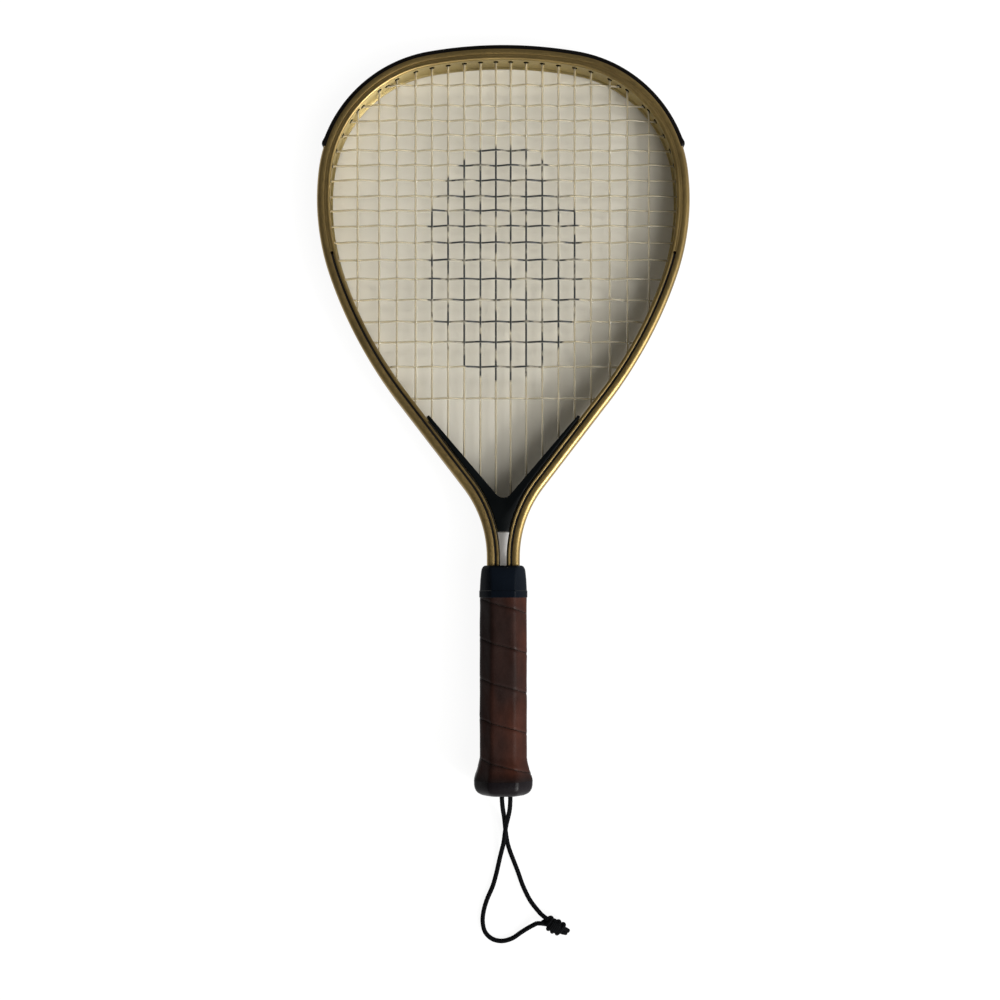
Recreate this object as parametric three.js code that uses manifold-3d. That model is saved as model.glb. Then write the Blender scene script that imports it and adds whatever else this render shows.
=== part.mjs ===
// A strung aluminium racquetball racket, lying on its back face with its wrist cord beside it.
// Lengths are millimetres. In the racket's own frame +X is right, +Y runs from butt to head
// and Z = 0 is the middle of the frame's depth. The finished group stands on Z = 0.
import * as THREE from "three";
import { mergeVertices } from "three/addons/utils/BufferGeometryUtils.js";
import Module from "manifold-3d";

const wasm = await Module();
wasm.setup();

// Overall
const racketLength = 458.4;
const clearance = 0.3;
const overrun = 1;
const chordLength = 10;

// Frame: one extrusion bent like a hairpin. Radii belong to its outer edge, turns are headings
// in degrees, clockwise from the direction across the head's top.
const topRadius = 263;
const shoulderRadius = 82;
const sideRadius = 145.5;
const flankRadius = 268;
const throatRadius = 71.5;
const topTurnDegrees = 10;
const shoulderTurnDegrees = 83;
const sideTurnDegrees = 109;
const flankTurnDegrees = 127.5;
const legTurnDegrees = 90;
const bendStepDegrees = 8;
const legGap = 4;
const legEnd = 22;

// Frame section: a hollow body with a string channel outside, and two rails inside
const frameDepth = 18;
const frameWidth = 8.1;
const cornerRadius = 2.6;
const cornerSteps = 3;
const channelWidth = 6.4;
const channelDepth = 4;
const webThickness = 1.5;
const railThickness = 2.2;
const grooveWidth = 1.2;
const grooveDepth = 0.8;
const grooveInset = 5.4;
const chamberWall = 1.2;
const chamberTaper = 0.7;
const stripeHoleRadius = 0.9;
const stripeHoleDrop = 127.1;

// Head guard: a strip round the outer edge of the head
const guardSkin = 0.9;
const guardWrapDegrees = 43;
const guardWrapSteps = 3;
const guardRibWidth = 5.4;
const guardRibDepth = 1.3;
const guardEndDrop = 59.4;

// Strings: mains by shares of the bed's half width, crosses by shares of the way down from the
// racket's top to the yoke's foot
const stringRadius = 0.675;
const mainShares = [0.043, 0.133, 0.227, 0.321, 0.415, 0.51, 0.619, 0.722, 0.847];
const crossShares = [
  0.0741, 0.1162, 0.1471, 0.1772, 0.2091, 0.24, 0.271, 0.3041, 0.3337,
  0.3659, 0.4, 0.436, 0.4754, 0.5186, 0.564, 0.6061, 0.6575, 0.7229,
];
const stringBendReach = 0.8;
const stringTail = 7;
const weaveGap = 0.45;
const edgeReach = 6;
const drillSides = 6;
const mainSides = 5;
const crossSides = 4;

// Yoke: the moulded bridge between the legs
const yokeDepth = 16;
const yokeFootWidth = 6.66;
const yokeWebHeight = 20.7;
const yokeArmHeight = 49.3;
const yokeTipThickness = 1.8;
const yokeCrotchRadius = 5.5;
const yokeTongueOverlap = 1;
const yokeLoopLift = 2.2;
const yokeLoopSpread = 4.4;
const yokeSlotWidth = 8;
const yokeSlotDepth = 2.4;

// Handle, an octagon. Spreads move every face outward from the plain grip.
const gripWidth = 29;
const gripDepth = 28;
const gripBevel = 7.3;
const leatherThickness = 1.4;
const stripPitch = 24.4;
const stripGap = 0.5;
const stripCells = 3;
const stripLead = 27.4;
const flareSpread = 3.5;
const flareSpreadShare = 0.37;
const flareHeight = 24;
const flareMiddleHeight = 17;
const collarDrop = 4.7;
const collarLength = 19.2;
const rivetShares = [0.24, 0.83];
const rivetRadius = 1;
const rivetHeadRadius = 2.3;
const rivetHeadThickness = 0.8;
const roundSides = 12;

// Butt cap and what it holds
const capLength = 9.1;
const capFloor = 2.5;
const spigotInset = 2.7;
const slotLength = 12.4;
const slotWidth = 4;
const cavityHeight = 20;
const pinRadius = 1.5;
const pinHeight = 14.5;
const pinLength = 20;
const tackPlace = 9.4;
const tackSide = 4.4;
const tackShankRadius = 0.7;
const tackHeadRadius = 1.6;
const tackHeadThickness = 0.7;
const tackLength = 9;

// Wrist cord: points of the free strands on the ground plane, butt end first
const cordRadius = 1.45;
const cordSides = 8;
const shortStrandExit = -0.9;
const longStrandExit = 4.3;
const bightSteps = 6;
const bightRiseShare = 0.66;
const shortStrandRoute = [
  [-0.8, -233, 17.0], [-0.5, -237, 14.4], [-0.1, -240.6, 10.8], [0.4, -244.2, 7.0],
  [0.8, -248, 3.7], [1.2, -252.4, 1.9], [1.8, -257.4, 1.5], [2.8, -263, 1.5], [4.4, -268.2, 1.5],
  [6.8, -274.4, 1.5], [9.4, -281.2, 1.5], [12.4, -289.6, 1.5], [16.6, -298.2, 1.7],
  [20, -302.8, 2.6], [23.6, -306.8, 3.8],
];
const longStrandRoute = [
  [4.3, -233, 17.2], [4.1, -237.4, 15.2], [3.6, -241.6, 12.2], [2.8, -245.6, 9.6],
  [1.9, -249.8, 7.4], [1.2, -254.2, 5.9], [0.7, -258.4, 5.1], [0.2, -261.9, 4.5],
  [-0.6, -265.4, 3.6], [-1.7, -270, 2.4], [-2.9, -275.4, 1.6], [-4.2, -281.2, 1.5],
  [-6.5, -289.4, 1.5], [-10.2, -298.2, 1.5], [-12.3, -305.4, 1.5], [-12.9, -312.6, 1.5],
  [-11.2, -319, 1.5], [-6.8, -323.1, 1.5], [-0.9, -324.4, 1.5], [5.6, -322.7, 1.5],
  [11.2, -318.9, 1.7], [16.4, -315.4, 2.6], [21, -312.6, 4.0],
];
const shortStrandSteps = 20;
const longStrandSteps = 30;

// Knot: pulled bights and two short tails, placed from the middle between the strands' ends, in
// shares of the cord's radius
const knotLobeShares = [
  { at: [3.79, -1.07, 0.72], size: [3.59, 3.72, 3.17] },
  { at: [8.55, -3.2, 0.66], size: [4.55, 4.07, 3.36] },
  { at: [6.2, 0.24, 1.14], size: [2.9, 2.48, 2.34] },
];
const knotTailShares = [
  [[9.5, -3.34, 0.17], [13.4, -5.1, -0.93]],
  [[8.8, -1.3, 0.45], [12.55, -1.97, -0.66]],
];
const knotLobeSides = 10;
const knotLobeRings = 7;

// Colours, as the finished surfaces read
const finishes = {
  gold: { color: 0x8a7040, roughness: 0.35, metalness: 0.9 },
  blackPlastic: { color: 0x14161a, roughness: 0.45, metalness: 0 },
  nylon: { color: 0xcfc7ae, roughness: 0.3, metalness: 0 },
  foam: { color: 0x3a3733, roughness: 0.8, metalness: 0 },
  steel: { color: 0xa9a9a9, roughness: 0.3, metalness: 1 },
  leather: { color: 0x3a251d, roughness: 0.5, metalness: 0 },
  braid: { color: 0x101014, roughness: 0.8, metalness: 0 },
};

// Solids and meshes

const mergeTolerance = 1e-4;

function toSolid(geometry) {
  const plain = geometry.index ? geometry.toNonIndexed() : geometry.clone();
  for (const name of Object.keys(plain.attributes)) {
    if (name !== "position") plain.deleteAttribute(name);
  }
  const merged = mergeVertices(plain, mergeTolerance);
  const mesh = new wasm.Mesh({
    numProp: 3,
    vertProperties: new Float32Array(merged.attributes.position.array),
    triVerts: new Uint32Array(merged.index.array),
  });
  return new wasm.Manifold(mesh);
}

function toGeometry(solid) {
  const mesh = solid.getMesh();
  const geometry = new THREE.BufferGeometry();
  geometry.setAttribute("position", new THREE.BufferAttribute(mesh.vertProperties, 3));
  geometry.setIndex(new THREE.BufferAttribute(mesh.triVerts, 1));
  geometry.computeVertexNormals();
  return geometry;
}

function cut(solid, tools) {
  return tools.reduce((rest, tool) => rest.subtract(tool), solid);
}

function piece(name, shape, finish) {
  const geometry = shape.isBufferGeometry ? shape : toGeometry(shape);
  const mesh = new THREE.Mesh(geometry, new THREE.MeshStandardMaterial(finish));
  mesh.name = name;
  return mesh;
}

function block(lowX, highX, lowY, highY, lowZ, highZ) {
  const geometry = new THREE.BoxGeometry(highX - lowX, highY - lowY, highZ - lowZ);
  return geometry.translate((lowX + highX) / 2, (lowY + highY) / 2, (lowZ + highZ) / 2);
}

// A cylinder whose middle is at a point and whose axis follows a direction
function rod(radius, length, middle, direction, sides) {
  const geometry = new THREE.CylinderGeometry(radius, radius, length, sides);
  const up = new THREE.Vector3(0, 1, 0);
  geometry.applyQuaternion(new THREE.Quaternion().setFromUnitVectors(up, direction));
  return geometry.translate(middle.x, middle.y, middle.z);
}

// A route through fixed stations, with a cross-section square to the bend at each of them
class Route extends THREE.Curve {
  constructor(points, tangents) {
    super();
    this.points = points;
    this.tangents = tangents ?? points.map((point, i) => {
      const before = points[Math.max(i - 1, 0)];
      const after = points[Math.min(i + 1, points.length - 1)];
      const arriving = point.clone().sub(before).normalize();
      const leaving = after.clone().sub(point).normalize();
      return arriving.add(leaving).normalize();
    });
  }

  get steps() {
    return this.points.length - 1;
  }

  getPointAt(share) {
    return this.points[Math.round(share * this.steps)].clone();
  }

  getTangentAt(share) {
    return this.tangents[Math.round(share * this.steps)].clone();
  }
}

function polygonShape(points) {
  return new THREE.Shape(points.map(([x, y]) => new THREE.Vector2(x, y)));
}

function roundSection(radius, sides) {
  const points = [];
  for (let i = 0; i < sides; i += 1) {
    const angle = (i / sides) * 2 * Math.PI;
    points.push([radius * Math.cos(angle), radius * Math.sin(angle)]);
  }
  return polygonShape(points);
}

function tube(route, radius, sides) {
  return new THREE.ExtrudeGeometry(roundSection(radius, sides), {
    steps: route.steps,
    extrudePath: route,
    bevelEnabled: false,
  });
}

// A closed skin through rings of equally many points, with a flat fan at each end
function loft(rings) {
  const count = rings[0].length;
  const positions = rings.flat().flatMap((point) => [point.x, point.y, point.z]);
  const index = [];
  for (let r = 0; r + 1 < rings.length; r += 1) {
    for (let i = 0; i < count; i += 1) {
      const j = (i + 1) % count;
      const low = r * count;
      const high = low + count;
      index.push(low + i, low + j, high + j, low + i, high + j, high + i);
    }
  }
  const last = (rings.length - 1) * count;
  for (let i = 1; i + 1 < count; i += 1) {
    index.push(0, i + 1, i, last, last + i, last + i + 1);
  }
  const geometry = new THREE.BufferGeometry();
  geometry.setAttribute("position", new THREE.Float32BufferAttribute(positions, 3));
  geometry.setIndex(index);
  return geometry;
}

// The frame's centreline, by its length from the head's top: positive to the right

const halfWidth = frameWidth / 2;
const halfDepth = frameDepth / 2;
const degree = Math.PI / 180;
const guardProud = guardSkin + clearance;
const floorInset = channelDepth + webThickness;

function along(run, distance) {
  const heading = run.heading + run.curvature * distance;
  if (run.curvature === 0) {
    return {
      x: run.x + distance * Math.cos(run.heading),
      y: run.y - distance * Math.sin(run.heading),
      heading,
    };
  }
  return {
    x: run.x + (Math.sin(heading) - Math.sin(run.heading)) / run.curvature,
    y: run.y + (Math.cos(heading) - Math.cos(run.heading)) / run.curvature,
    heading,
  };
}

function centreline() {
  const runs = [];
  let start = 0;
  let here = { x: 0, y: racketLength - guardProud - halfWidth, heading: 0 };
  const add = (length, curvature) => {
    const run = { ...here, start, length, curvature };
    runs.push(run);
    here = along(run, length);
    start += length;
  };
  const bend = (radius, toDegrees) => {
    const turn = toDegrees * degree - here.heading;
    add(Math.abs(turn) * radius, Math.sign(turn) / radius);
  };
  bend(topRadius - halfWidth, topTurnDegrees);
  bend(shoulderRadius - halfWidth, shoulderTurnDegrees);
  bend(sideRadius - halfWidth, sideTurnDegrees);
  bend(flankRadius - halfWidth, flankTurnDegrees);
  const throat = throatRadius + halfWidth;
  const drift = here.x - throat * (1 - Math.sin(here.heading)) - (legGap / 2 + halfWidth);
  add(drift / -Math.cos(here.heading), 0);
  bend(throat, legTurnDegrees);
  add(here.y - legEnd, 0);
  return { runs, length: start };
}

const path = centreline();

// The point at a length along the frame, moved inward by an offset, and the directions there
function onFrame(length, offset = 0) {
  const side = length < 0 ? -1 : 1;
  const distance = Math.abs(length);
  const run = path.runs.findLast((candidate) => candidate.start <= distance);
  const here = along(run, distance - run.start);
  const inward = new THREE.Vector3(-side * Math.sin(here.heading), -Math.cos(here.heading), 0);
  const tangent = new THREE.Vector3(Math.cos(here.heading), -side * Math.sin(here.heading), 0);
  const point = new THREE.Vector3(side * here.x, here.y, 0).addScaledVector(inward, offset);
  return { point, inward, tangent };
}

// Lengths along the frame at which its bends are divided
function stationLengths() {
  const lengths = [];
  for (const run of path.runs) {
    const turn = Math.abs(run.curvature) * run.length;
    const steps = Math.max(1, Math.ceil(turn / (bendStepDegrees * degree)));
    for (let i = 0; i < steps; i += 1) lengths.push(run.start + (i / steps) * run.length);
  }
  return [...lengths, path.length];
}

function frameRoute(from, to) {
  const right = stationLengths();
  const all = [...right.slice(1).reverse().map((length) => -length), ...right];
  const inside = all.filter((length) => length > from + clearance && length < to - clearance);
  const stations = [from, ...inside, to].map((length) => onFrame(length));
  return new Route(stations.map((s) => s.point), stations.map((s) => s.tangent));
}

// Where a steadily rising or falling measure reaches a target
const bisectSteps = 50;

function bisect(measure, target, low, high) {
  const rising = measure(high) > measure(low);
  let a = low;
  let b = high;
  for (let i = 0; i < bisectSteps; i += 1) {
    const middle = (a + b) / 2;
    if (measure(middle) < target === rising) a = middle;
    else b = middle;
  }
  return (a + b) / 2;
}

// The length along the frame, right side, at which an offset line reaches a height
function lengthAtHeight(height, offset) {
  return bisect((length) => onFrame(length, offset).point.y, height, 0, path.length);
}

// The yoke's foot is where the gap between the legs has its width
const throatEdge = (length) => onFrame(length, halfWidth + clearance).point.x;
const yokeFoot = bisect(throatEdge, yokeFootWidth / 2, path.runs[5].start, path.runs[6].start);
const yokeFootHeight = onFrame(yokeFoot, halfWidth + clearance).point.y;
const yokeCrotchHeight = yokeFootHeight + yokeWebHeight;
const yokeTipHeight = yokeCrotchHeight + yokeArmHeight;

// The collar ends a little below the place where the legs part
const collarHeight = path.runs[6].y - collarDrop - collarLength;

// Sections are lists of [inset from the frame's outer edge, place in its depth]
function sectionShape(points) {
  return polygonShape(points.map(([inset, depth]) => [-depth, halfWidth - inset]));
}

function mirrored(upper) {
  return [...upper, ...upper.map(([inset, depth]) => [inset, -depth]).reverse()];
}

function sweep(shape, route) {
  return new THREE.ExtrudeGeometry(shape, {
    steps: route.steps,
    extrudePath: route,
    bevelEnabled: false,
  });
}

// Strings

const stringSeat = stringRadius + clearance;
const innerSeat = floorInset - halfWidth + stringSeat;
const outerSeat = channelDepth - halfWidth - stringSeat;
const weaveLift = 2 * stringRadius + weaveGap;
const headTop = racketLength - guardProud;
const widest = bisect((length) => onFrame(length).tangent.x, 0, 0, path.runs[3].start);
const innerHalfWidth = onFrame(widest, halfWidth).point.x;
const drillRadius = stringSeat / Math.cos(Math.PI / drillSides);

const mains = [...mainShares].reverse().map((share) => -share * innerHalfWidth);
mains.push(...mainShares.map((share) => share * innerHalfWidth));
const headSpan = racketLength - yokeFootHeight;
const crosses = crossShares.map((share) => racketLength - share * headSpan);

// Where a string leaves the bed: it bends square to the frame, and lies in the outer channel
function stringEnd(length, depth) {
  const inner = onFrame(length, innerSeat);
  const outer = onFrame(length, outerSeat);
  inner.point.z = depth;
  outer.point.z = depth;
  return { length, depth, inner: inner.point, outer: outer.point };
}

function mainEnd(place, atTop) {
  const across = (length) => onFrame(length, innerSeat).point.x;
  const [low, high] = atTop ? [0, widest] : [widest, path.runs[6].start];
  const length = bisect(across, Math.abs(place), low, high);
  return stringEnd(Math.sign(place) * length, 0);
}

function crossEnd(height, side) {
  return stringEnd(side * lengthAtHeight(height, innerSeat), -weaveLift);
}

const mainEnds = mains.map((place) => ({ top: mainEnd(place, true), bottom: mainEnd(place, false) }));
const crossEnds = crosses.map((height) => ({ left: crossEnd(height, -1), right: crossEnd(height, 1) }));
const centreMain = mains.length / 2;

function channelRun(from, to) {
  const count = Math.ceil(Math.abs(to.length - from.length) / chordLength);
  const points = [];
  for (let i = 1; i < count; i += 1) {
    const length = from.length + ((to.length - from.length) * i) / count;
    points.push({ point: onFrame(length, outerSeat).point.setZ(from.depth) });
  }
  return points;
}

function tail(end, side) {
  return { point: onFrame(end.length + side * stringTail, outerSeat).point.setZ(end.depth) };
}

const corner = (point) => ({ point, corner: true });
const arriving = (end) => [corner(end.inner), corner(end.outer)];
const leaving = (end) => [corner(end.outer), corner(end.inner)];

// Each corner becomes two stations, a short way before and after it
function softened(stations) {
  return stations.flatMap((station, i) => {
    if (!station.corner) return [station.point];
    const toward = (other) => other.point.clone().sub(station.point).setLength(stringBendReach);
    return [
      station.point.clone().add(toward(stations[i - 1])),
      station.point.clone().add(toward(stations[i + 1])),
    ];
  });
}

function yokeLoopPoint(side) {
  return new THREE.Vector3((side * yokeLoopSpread) / 2, yokeFootHeight + yokeLoopLift, 0);
}

function mainStations() {
  const stations = [tail(mainEnds[0].top, -1)];
  mainEnds.forEach((ends, i) => {
    const goesDown = i % 2 === 0;
    const next = mainEnds[i + 1];
    const crotch = { point: new THREE.Vector3(mains[i], yokeCrotchHeight, 0) };
    if (goesDown) {
      stations.push(...leaving(ends.top));
      if (i === centreMain - 1) {
        stations.push(crotch, corner(yokeLoopPoint(-1)));
      } else {
        stations.push(...arriving(ends.bottom), ...channelRun(ends.bottom, next.bottom));
      }
    } else {
      if (i === centreMain) stations.push(corner(yokeLoopPoint(1)), crotch);
      else stations.push(...leaving(ends.bottom));
      stations.push(...arriving(ends.top));
      if (next) stations.push(...channelRun(ends.top, next.top));
    }
  });
  stations.push(tail(mainEnds.at(-1).top, 1));
  return stations;
}

// A cross string passes over and under the mains by turns, and under one beside the frame
function crossings(j) {
  const height = crosses[j];
  const reach = crossEnds[j].right.inner.x - edgeReach;
  return mains.flatMap((place, i) => {
    const { top, bottom } = mainEnds[i];
    if (height >= top.inner.y || height <= bottom.inner.y) return [];
    const over = (i + j) % 2 === 0 && Math.abs(place) < reach;
    return [{ point: new THREE.Vector3(place, height, over ? weaveLift : -weaveLift) }];
  });
}

function crossStations() {
  const stations = [tail(crossEnds[0].left, -1)];
  crossEnds.forEach(({ left, right }, j) => {
    const goesRight = j % 2 === 0;
    const [start, end] = goesRight ? [left, right] : [right, left];
    const between = crossings(j);
    if (!goesRight) between.reverse();
    stations.push(...leaving(start), ...between, ...arriving(end));
    const next = crossEnds[j + 1];
    if (next) stations.push(...channelRun(end, goesRight ? next.right : next.left));
  });
  stations.push(tail(crossEnds.at(-1).left, -1));
  return stations;
}

function string(stations, sides) {
  return toSolid(tube(new Route(softened(stations)), stringRadius, sides));
}

// Frame, yoke and head guard

function frameShape() {
  const upper = [[channelDepth, channelWidth / 2], [0, channelWidth / 2]];
  for (let i = 0; i <= cornerSteps; i += 1) {
    const angle = (i / cornerSteps) * (Math.PI / 2);
    const inset = cornerRadius * (1 - Math.cos(angle));
    upper.push([inset, halfDepth - cornerRadius * (1 - Math.sin(angle))]);
  }
  const grooveStart = grooveInset - grooveWidth / 2;
  const grooveEnd = grooveInset + grooveWidth / 2;
  upper.push([grooveStart, halfDepth], [grooveStart, halfDepth - grooveDepth]);
  upper.push([grooveEnd, halfDepth - grooveDepth], [grooveEnd, halfDepth]);
  upper.push([frameWidth, halfDepth], [frameWidth, halfDepth - railThickness]);
  upper.push([floorInset, halfDepth - railThickness]);
  const shape = sectionShape(mirrored(upper));
  const chamberEnd = floorInset - chamberWall;
  const chamberTop = halfDepth - chamberWall;
  const chamberBottom = channelWidth / 2 + chamberWall;
  const chamber = [
    [chamberWall, chamberBottom], [chamberEnd, chamberBottom],
    [chamberEnd - chamberTaper, chamberTop], [chamberWall + chamberTaper, chamberTop],
  ];
  const twin = chamber.map(([inset, depth]) => [inset, -depth]).reverse();
  shape.holes.push(sectionShape(chamber), sectionShape(twin));
  return shape;
}

function stringHole(end) {
  const { point, inward } = onFrame(end.length, channelDepth + webThickness / 2 - halfWidth);
  point.z = end.depth;
  return toSolid(rod(drillRadius, webThickness + 2 * overrun, point, inward, drillSides));
}

function stripeHoles() {
  const offset = grooveInset - halfWidth;
  const length = lengthAtHeight(racketLength - stripeHoleDrop, offset);
  const axis = new THREE.Vector3(0, 0, 1);
  const holes = [];
  for (const side of [-1, 1]) {
    for (const face of [-1, 1]) {
      const middle = onFrame(side * length, offset).point.setZ(face * halfDepth);
      holes.push(toSolid(rod(stripeHoleRadius, 4 * grooveDepth, middle, axis, roundSides)));
    }
  }
  return holes;
}

function frame() {
  const bar = toSolid(sweep(frameShape(), frameRoute(-path.length, path.length)));
  const ends = mainEnds.flatMap(({ top, bottom }, i) => {
    const loopsInYoke = i === centreMain || i === centreMain - 1;
    return loopsInYoke ? [top] : [top, bottom];
  });
  ends.push(...crossEnds.flatMap(({ left, right }) => [left, right]));
  return cut(bar, [...ends.map(stringHole), ...stripeHoles()]);
}

function guardShape() {
  const ribHalf = guardRibWidth / 2;
  const straight = halfDepth - cornerRadius;
  const arc = (radius, share) => {
    const angle = guardWrapDegrees * degree * share;
    return [cornerRadius - radius * Math.cos(angle), straight + radius * Math.sin(angle)];
  };
  const outer = [];
  for (let i = 0; i <= guardWrapSteps; i += 1) {
    outer.push(arc(cornerRadius + guardProud, i / guardWrapSteps));
  }
  for (let i = guardWrapSteps; i >= 0; i -= 1) {
    outer.push(arc(cornerRadius + clearance, i / guardWrapSteps));
  }
  outer.push([-clearance, ribHalf], [guardRibDepth - clearance, ribHalf]);
  return sectionShape(mirrored(outer));
}

function headGuard() {
  const reach = lengthAtHeight(racketLength - guardEndDrop, -halfWidth);
  return toSolid(sweep(guardShape(), frameRoute(-reach, reach)));
}

function plate(points, depth) {
  const geometry = new THREE.ExtrudeGeometry(polygonShape(points), { depth, bevelEnabled: false });
  return toSolid(geometry.translate(0, 0, -depth / 2));
}

// Points down the right leg, between two heights, at an offset from the centreline
function legEdge(offset, highest, lowest) {
  const from = lengthAtHeight(highest, offset);
  const to = lengthAtHeight(lowest, offset);
  const between = stationLengths().filter((length) => length > from && length < to);
  return [from, ...between, to].map((length) => onFrame(length, offset).point);
}

const mirrorX = (points) => points.map(([x, y]) => [-x, y]).reverse();

function yokeOutline() {
  const offset = halfWidth + clearance;
  const edge = legEdge(offset, yokeTipHeight, yokeFootHeight).map(({ x, y }) => [x, y]);
  const tipLength = lengthAtHeight(yokeTipHeight, offset);
  const tip = onFrame(tipLength, offset + yokeTipThickness).point;
  const centreHeight = yokeCrotchHeight + yokeCrotchRadius;
  const reach = Math.hypot(tip.x, tip.y - centreHeight);
  const touch = Math.atan2(tip.y - centreHeight, tip.x) - Math.acos(yokeCrotchRadius / reach);
  const crotch = [];
  for (let i = 0; i <= cornerSteps; i += 1) {
    const angle = -Math.PI / 2 + ((touch + Math.PI / 2) * i) / cornerSteps;
    const x = yokeCrotchRadius * Math.cos(angle);
    crotch.push([x, centreHeight + yokeCrotchRadius * Math.sin(angle)]);
  }
  const right = [...crotch, [tip.x, tip.y], ...edge];
  return [...right, ...mirrorX(right.slice(1))];
}

function yokeTongue(side) {
  const channelEdge = legEdge(floorInset - halfWidth + clearance, yokeTipHeight, yokeFootHeight);
  const bodyOffset = halfWidth + clearance + yokeTongueOverlap;
  const bodyEdge = legEdge(bodyOffset, yokeTipHeight, yokeFootHeight);
  const points = [...channelEdge, ...bodyEdge.reverse()].map(({ x, y }) => [side * x, y]);
  return plate(points, frameDepth - 2 * (railThickness + clearance));
}

function stringTunnel(stations) {
  return toSolid(tube(new Route(softened(stations)), drillRadius, drillSides));
}

function yoke() {
  const body = plate(yokeOutline(), yokeDepth).add(yokeTongue(1)).add(yokeTongue(-1));
  const above = (i) => ({ point: new THREE.Vector3(mains[i], yokeTipHeight + overrun, 0) });
  const crotch = (i) => ({ point: new THREE.Vector3(mains[i], yokeCrotchHeight, 0) });
  const tunnels = [];
  mainEnds.forEach(({ bottom }, i) => {
    if (i === centreMain || i === centreMain - 1) return;
    if (bottom.inner.y > yokeTipHeight) return;
    tunnels.push(stringTunnel([above(i), corner(bottom.inner), { point: bottom.outer }]));
  });
  const left = centreMain - 1;
  tunnels.push(stringTunnel([
    above(left), crotch(left), corner(yokeLoopPoint(-1)),
    corner(yokeLoopPoint(1)), crotch(centreMain), above(centreMain),
  ]));
  const slot = block(
    -yokeSlotWidth / 2, yokeSlotWidth / 2,
    yokeFootHeight - overrun, yokeFootHeight + yokeSlotDepth,
    -stringSeat, stringSeat,
  );
  return cut(body, [...tunnels, toSolid(slot)]);
}

// Handle

const palletSpread = -(leatherThickness + clearance);
const palletHalfDepth = gripDepth / 2 + palletSpread;
const wrapBottom = capLength + clearance;
const wrapTop = collarHeight - clearance;
const across = new THREE.Vector3(0, 0, 1);
const [lowerRivetHeight, upperRivetHeight] = rivetShares.map(
  (share) => cavityHeight + share * (wrapTop - cavityHeight),
);

// Corners in order round the handle, seen from the head: from the right side to the back
function corners(height, halfX, halfZ, bevel) {
  const flatX = halfX - bevel;
  const flatZ = halfZ - bevel;
  const outline = [
    [halfX, flatZ], [halfX, -flatZ], [flatX, -halfZ], [-flatX, -halfZ],
    [-halfX, -flatZ], [-halfX, flatZ], [-flatX, halfZ], [flatX, halfZ],
  ];
  return outline.map(([x, z]) => new THREE.Vector3(x, height, z));
}

function gripRing(height, spread) {
  const bevel = gripBevel + spread * (2 - Math.SQRT2);
  return corners(height, gripWidth / 2 + spread, gripDepth / 2 + spread, bevel);
}

// How far the grip's faces flare outward at a height above the butt
function flareAt(height) {
  const middle = flareSpread * flareSpreadShare;
  if (height >= flareHeight) return 0;
  if (height >= flareMiddleHeight) {
    return (middle * (flareHeight - height)) / (flareHeight - flareMiddleHeight);
  }
  const share = (flareMiddleHeight - height) / (flareMiddleHeight - wrapBottom);
  return middle + (flareSpread - middle) * share;
}

// The space that a leg of the frame takes in the handle, with its clearance
function legPocket(side, from, to) {
  const inner = legGap / 2 - clearance;
  const outer = legGap / 2 + frameWidth + clearance;
  const half = halfDepth + clearance;
  const radius = cornerRadius + clearance;
  const upper = [];
  for (let i = 0; i <= cornerSteps; i += 1) {
    const angle = (i / cornerSteps) * (Math.PI / 2);
    const x = outer - radius * (1 - Math.cos(angle));
    upper.push([side * x, half - radius * (1 - Math.sin(angle))]);
  }
  upper.push([side * inner, half]);
  const outline = [...upper, ...upper.map(([x, z]) => [x, -z]).reverse()];
  const depth = to - from;
  const geometry = new THREE.ExtrudeGeometry(polygonShape(outline), { depth, bevelEnabled: false });
  return toSolid(geometry.rotateX(-Math.PI / 2).translate(0, from, 0));
}

function tackMiddle(side, height) {
  return new THREE.Vector3(side * tackPlace, height, side * tackSide);
}

function tackHole(side) {
  const reach = tackLength + clearance + overrun;
  const up = new THREE.Vector3(0, 1, 0);
  const middle = tackMiddle(side, reach / 2 - overrun);
  return toSolid(rod(tackShankRadius + clearance, reach, middle, up, roundSides));
}

function rivetHole(height) {
  const bore = rod(
    rivetRadius + clearance, gripDepth, new THREE.Vector3(0, height, 0), across, roundSides,
  );
  const seat = palletHalfDepth - rivetHeadThickness - 2 * clearance;
  const depth = gripDepth / 2 - seat;
  const heads = [-1, 1].map((face) => {
    const middle = new THREE.Vector3(0, height, face * (seat + depth / 2));
    return toSolid(rod(rivetHeadRadius + clearance, depth, middle, across, roundSides));
  });
  return toSolid(bore).add(heads[0]).add(heads[1]);
}

function pallet() {
  const spigotSpread = -spigotInset;
  const levels = [
    [capFloor + clearance, spigotSpread],
    [wrapBottom, spigotSpread],
    [wrapBottom, flareSpread + palletSpread],
    [flareMiddleHeight, flareAt(flareMiddleHeight) + palletSpread],
    [flareHeight, palletSpread],
    [wrapTop, palletSpread],
  ];
  const body = toSolid(loft(levels.map(([height, spread]) => gripRing(height, spread))));
  const cavity = block(
    -slotLength / 2, slotLength / 2, capFloor - overrun, cavityHeight, -slotWidth / 2, slotWidth / 2,
  );
  const pinHole = rod(
    pinRadius + clearance, pinLength + 2 * clearance,
    new THREE.Vector3(0, pinHeight, 0), across, roundSides,
  );
  return cut(body, [
    legPocket(-1, legEnd - clearance, wrapTop + overrun),
    legPocket(1, legEnd - clearance, wrapTop + overrun),
    toSolid(cavity),
    toSolid(pinHole),
    rivetHole(lowerRivetHeight),
    rivetHole(upperRivetHeight),
    tackHole(-1),
    tackHole(1),
  ]);
}

function palletHalf(face) {
  const [low, high] = face > 0 ? [clearance / 2, gripDepth] : [-gripDepth, -clearance / 2];
  const half = block(-gripWidth, gripWidth, 0, racketLength, low, high);
  return pallet().intersect(toSolid(half));
}

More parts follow.
